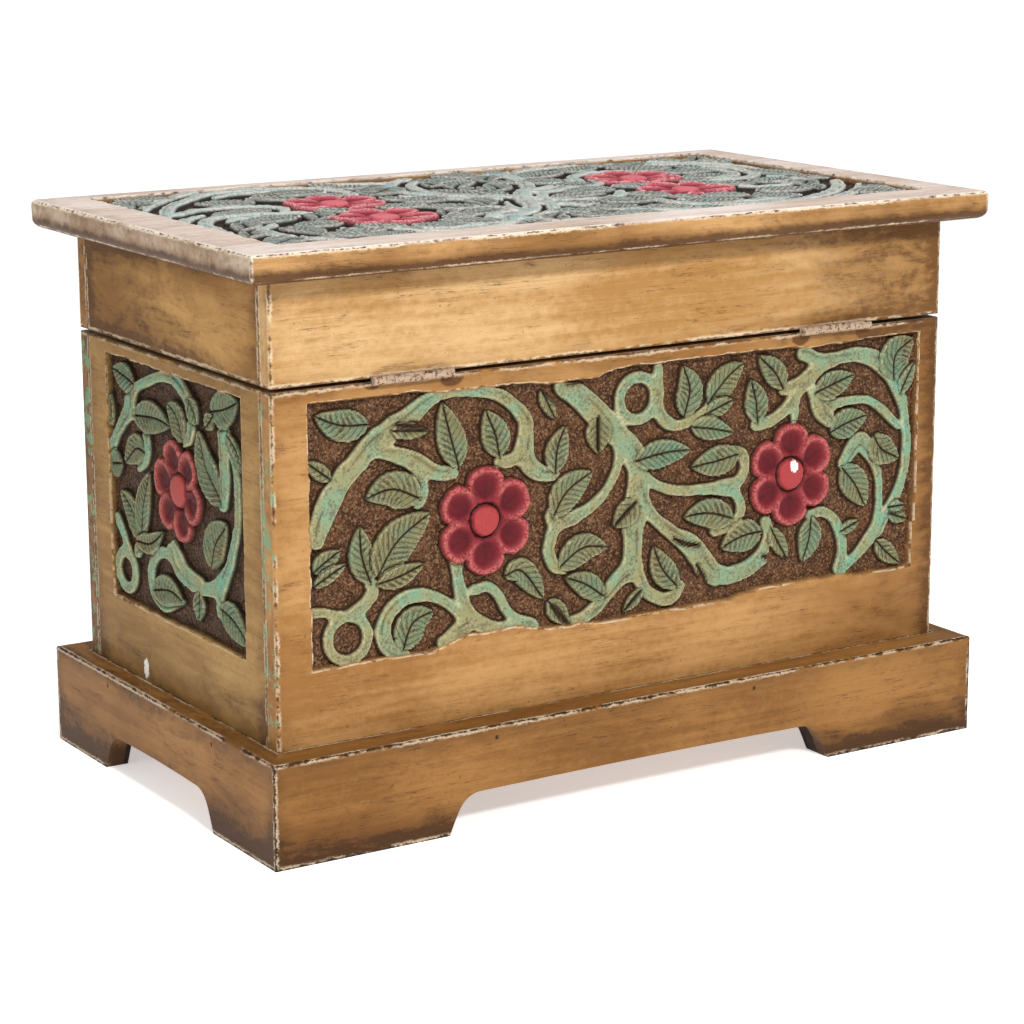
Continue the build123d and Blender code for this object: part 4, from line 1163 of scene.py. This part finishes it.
# bareLight and bareDark here: the plinth's bare inner faces, far darker than bare wood elsewhere, are painted
# shade under the trunk
plinthCommon = dict(
    rimCommon, pale=rgb(150, 106, 56), mid=rgb(114, 74, 32), dark=rgb(46, 24, 8), edgeDark=0.95, edgePale=0.7,
    bareLight=rgb(58, 38, 26), bareDark=rgb(28, 18, 12),
)
# glaze heavier towards the bottom of the plinth
plinthLong = dict(plinthCommon, grain="XZY", half=(183.1, 8.0, 22.5), shadeAndDirt=rampOn(2, 26.0, 0.0, 0.0, 0.8))
plinthShort = dict(plinthCommon, grain="YZX", half=(5.3, 108.5, 22.5), shadeAndDirt=rampOn(2, 30.0, 0.0, 0.0, 0.9))
plain = {
    "lid_rim_back": dict(
        rimLong, shift=(900, 14, 0), glaze=0.42, centre=(0, 87.9, 218.35),
        # painted shade: glaze heavier towards the -X end, as on the back wall
        shadeAndDirt=rampOn(0, -20.0, -160.0, 0.1, 0.9), bare=rampOn(1, 83.35, 83.31),
    ),
    "lid_rim_front": dict(
        rimLong, shift=(1700, 60, 5), glaze=0.4, centre=(0, -87.9, 218.35),
        # the same painted shade, mirrored: glaze heavier towards the +X end
        shadeAndDirt=rampOn(0, 20.0, 175.0, 0.0, 0.6), bare=rampOn(1, -83.35, -83.31),
    ),
    "lid_rim_right": dict(
        rimShort, shift=(300, 140, 9), glaze=0.74, centre=(167.9, 0, 218.35), pale=rgb(190, 146, 84),
        mid=rgb(136, 92, 40), dark=rgb(66, 36, 8),
        # painted shade: glaze heavier towards -Y, away from the key light
        shadeAndDirt=rampOn(1, 70.0, -60.0, 0.15, 0.6), bare=rampOn(0, 163.35, 163.31),
    ),
    "lid_rim_left": dict(
        rimShort, shift=(1200, 70, 31), glaze=0.6, centre=(-167.9, 0, 218.35),
        # the same painted shade, mirrored: glaze heavier towards +Y
        shadeAndDirt=rampOn(1, -70.0, 60.0, 0.3, 0.8), bare=rampOn(0, -163.35, -163.31),
    ),
    "plinth_back": dict(
        plinthLong, shift=(50, 240, 7), glaze=0.7, centre=(0, 100.5, 22.5),
        bare=bareBelowLedge(1, 101.4, 101.2),
    ),
    "plinth_front": dict(
        plinthLong, shift=(650, 40, 17), glaze=0.62, centre=(0, -100.5, 22.5),
        bare=bareBelowLedge(1, -101.4, -101.2),
    ),
    "plinth_right": dict(
        plinthShort, shift=(150, 90, 3), glaze=0.88, centre=(177.8, 0, 22.5),
        bare=bareBelowLedge(0, 175.0, 174.8),
    ),
    "plinth_left": dict(
        plinthShort, shift=(850, 190, 43), glaze=0.72, centre=(-177.8, 0, 22.5),
        bare=bareBelowLedge(0, -175.0, -174.8),
    ),
    "bottom_board": dict(
        rimCommon, grain="XYZ", shift=(250, 330, 0), glaze=0.4, centre=(0, 0, 22), half=(172.5, 92.5, 3),
        shadeAndDirt=never, bare=always,
    ),
}
for name, settings in plain.items():
    nodes[name].data.materials.clear()
    nodes[name].data.materials.append(plainMaterial("paint_" + name, settings))
print("plain boards done")


# Metal under paint or rust: the base colour gives way to the worn one where a patchy noise is above amount
def metalMaterial(name, base, worn, amount, roughness, metallic):
    material, surface, inMm = newMaterial(name)
    patches = noise(inMm, 0.55, 4.0, 0.65)
    fine = noise(inMm, 2.6, 3.0, 0.6)
    mask = fit(weigh((0.7, patches), (0.3, fine)), amount, amount + 0.12)
    send(times(mask, metallic), surface["Metallic"])
    rough = plus(roughness, times(fine, 0.3))
    finishSurface(surface, blend(mask, base, worn), rough, minus(fine, times(mask, 0.6)), 0.6, 0.0002)
    return material


paintedHinge = metalMaterial("paint_hinges", rgb(178, 152, 128), rgb(70, 46, 26), 0.49, 0.35, 0.5)
steel = metalMaterial("steel", rgb(150, 142, 132), rgb(96, 84, 70), 0.52, 0.3, 1.0)
darkSteel = metalMaterial("dark_steel", rgb(70, 60, 52), rgb(40, 32, 26), 0.5, 0.5, 0.8)
for name, piece in nodes.items():
    if name.startswith("hinge"):
        material = paintedHinge if name.endswith("leaf") else steel
    elif name.endswith("brads"):
        material = darkSteel
    else:
        continue
    piece.data.materials.clear()
    piece.data.materials.append(material)
print("metal done")

# A round white floor, so that the paper behind it stays white
floorSettings = {"radius": 1.15, "corners": 72, "white": 0.96, "glow": 0.46, "roughness": 0.9}
floorMesh = bpy.data.meshes.new("floor")
circle = np.radians(np.arange(0, 360, 360 / floorSettings["corners"]))
radius = floorSettings["radius"]
floorMesh.from_pydata([(radius * cos(a), radius * sin(a), 0) for a in circle], [], [list(range(len(circle)))])
floor = bpy.data.objects.new("floor", floorMesh)
bpy.context.scene.collection.objects.link(floor)
white = bpy.data.materials.new("floor_white")
white.use_nodes = True
whiteSurface = next(n for n in white.node_tree.nodes if n.type == "BSDF_PRINCIPLED").inputs
whiteSurface["Base Color"].default_value = (*[floorSettings["white"]] * 3, 1)
whiteSurface["Roughness"].default_value = floorSettings["roughness"]
whiteSurface["Emission Color"].default_value = (1, 1, 1, 1)
whiteSurface["Emission Strength"].default_value = floorSettings["glow"]
floorMesh.materials.append(white)

# Soft sky on the trunk, and white paper where the camera looks past the floor
skySettings = {"sky": 0.42, "paper": 1.05}
world = bpy.data.worlds.new("world")
bpy.context.scene.world = world
world.use_nodes = True
tree = world.node_tree
tree.nodes.clear()
straight = put(tree, "ShaderNodeLightPath")["Is Camera Ray"]
sky, paper = (
    put(tree, "ShaderNodeBackground", {"Color": (1, 1, 1, 1), "Strength": skySettings[key]})[0]
    for key in ("sky", "paper")
)
put(tree, "ShaderNodeOutputWorld", {0: put(tree, "ShaderNodeMixShader", {0: straight, 1: sky, 2: paper})[0]})

# Place and aim in metres, diameter, watts
lights = {
    "key": {"place": (0.35, 1.8, 1.5), "target": (0, 0, 0.12), "size": 0.3, "power": 36},
    "fill": {"place": (1.9, 0.4, 0.8), "target": (0, 0, 0.12), "size": 1.2, "power": 7},
    "top": {"place": (-0.2, 0.1, 2.2), "target": (0, 0, 0.1), "size": 1.2, "power": 18},
}
for name, settings in lights.items():
    light = bpy.data.lights.new(name, "AREA")
    light.shape = "DISK"
    light.size = settings["size"]
    light.energy = settings["power"]
    holder = bpy.data.objects.new(name, light)
    bpy.context.scene.collection.objects.link(holder)
    away = Vector(settings["place"]) - Vector(settings["target"])
    turn = away.to_track_quat("Z", "Y").to_matrix().to_4x4()
    holder.matrix_world = Matrix.Translation(settings["place"]) @ turn
print("floor and lights done")

# The photograph's camera, from fourteen corners of the trunk: angles in radians, place in metres
view = {
    "yaw": -2.1292, "pitch": -0.2276, "roll": -0.0044, "place": (0.70825, 1.13182, 0.41581), "lens": 104.45,
    "sensor": 36, "near": 0.05, "far": 100,
}
yaw, pitch, roll = view["yaw"], view["pitch"], view["roll"]
forward = Vector((cos(pitch) * cos(yaw), cos(pitch) * sin(yaw), sin(pitch)))
right = Vector((sin(yaw), -cos(yaw), 0))
up = right.cross(forward)
across = cos(roll) * right + sin(roll) * up
upward = cos(roll) * up - sin(roll) * right
lens = bpy.data.cameras.new("camera")
lens.lens = view["lens"]
lens.sensor_width = view["sensor"]
lens.clip_start = view["near"]
lens.clip_end = view["far"]
camera = bpy.data.objects.new("camera", lens)
bpy.context.scene.collection.objects.link(camera)
turn = Matrix((across, upward, -forward)).transposed().to_4x4()
camera.matrix_world = Matrix.Translation(view["place"]) @ turn
bpy.context.scene.camera = camera
bpy.context.scene.view_settings.view_transform = "Standard"
print("camera done")
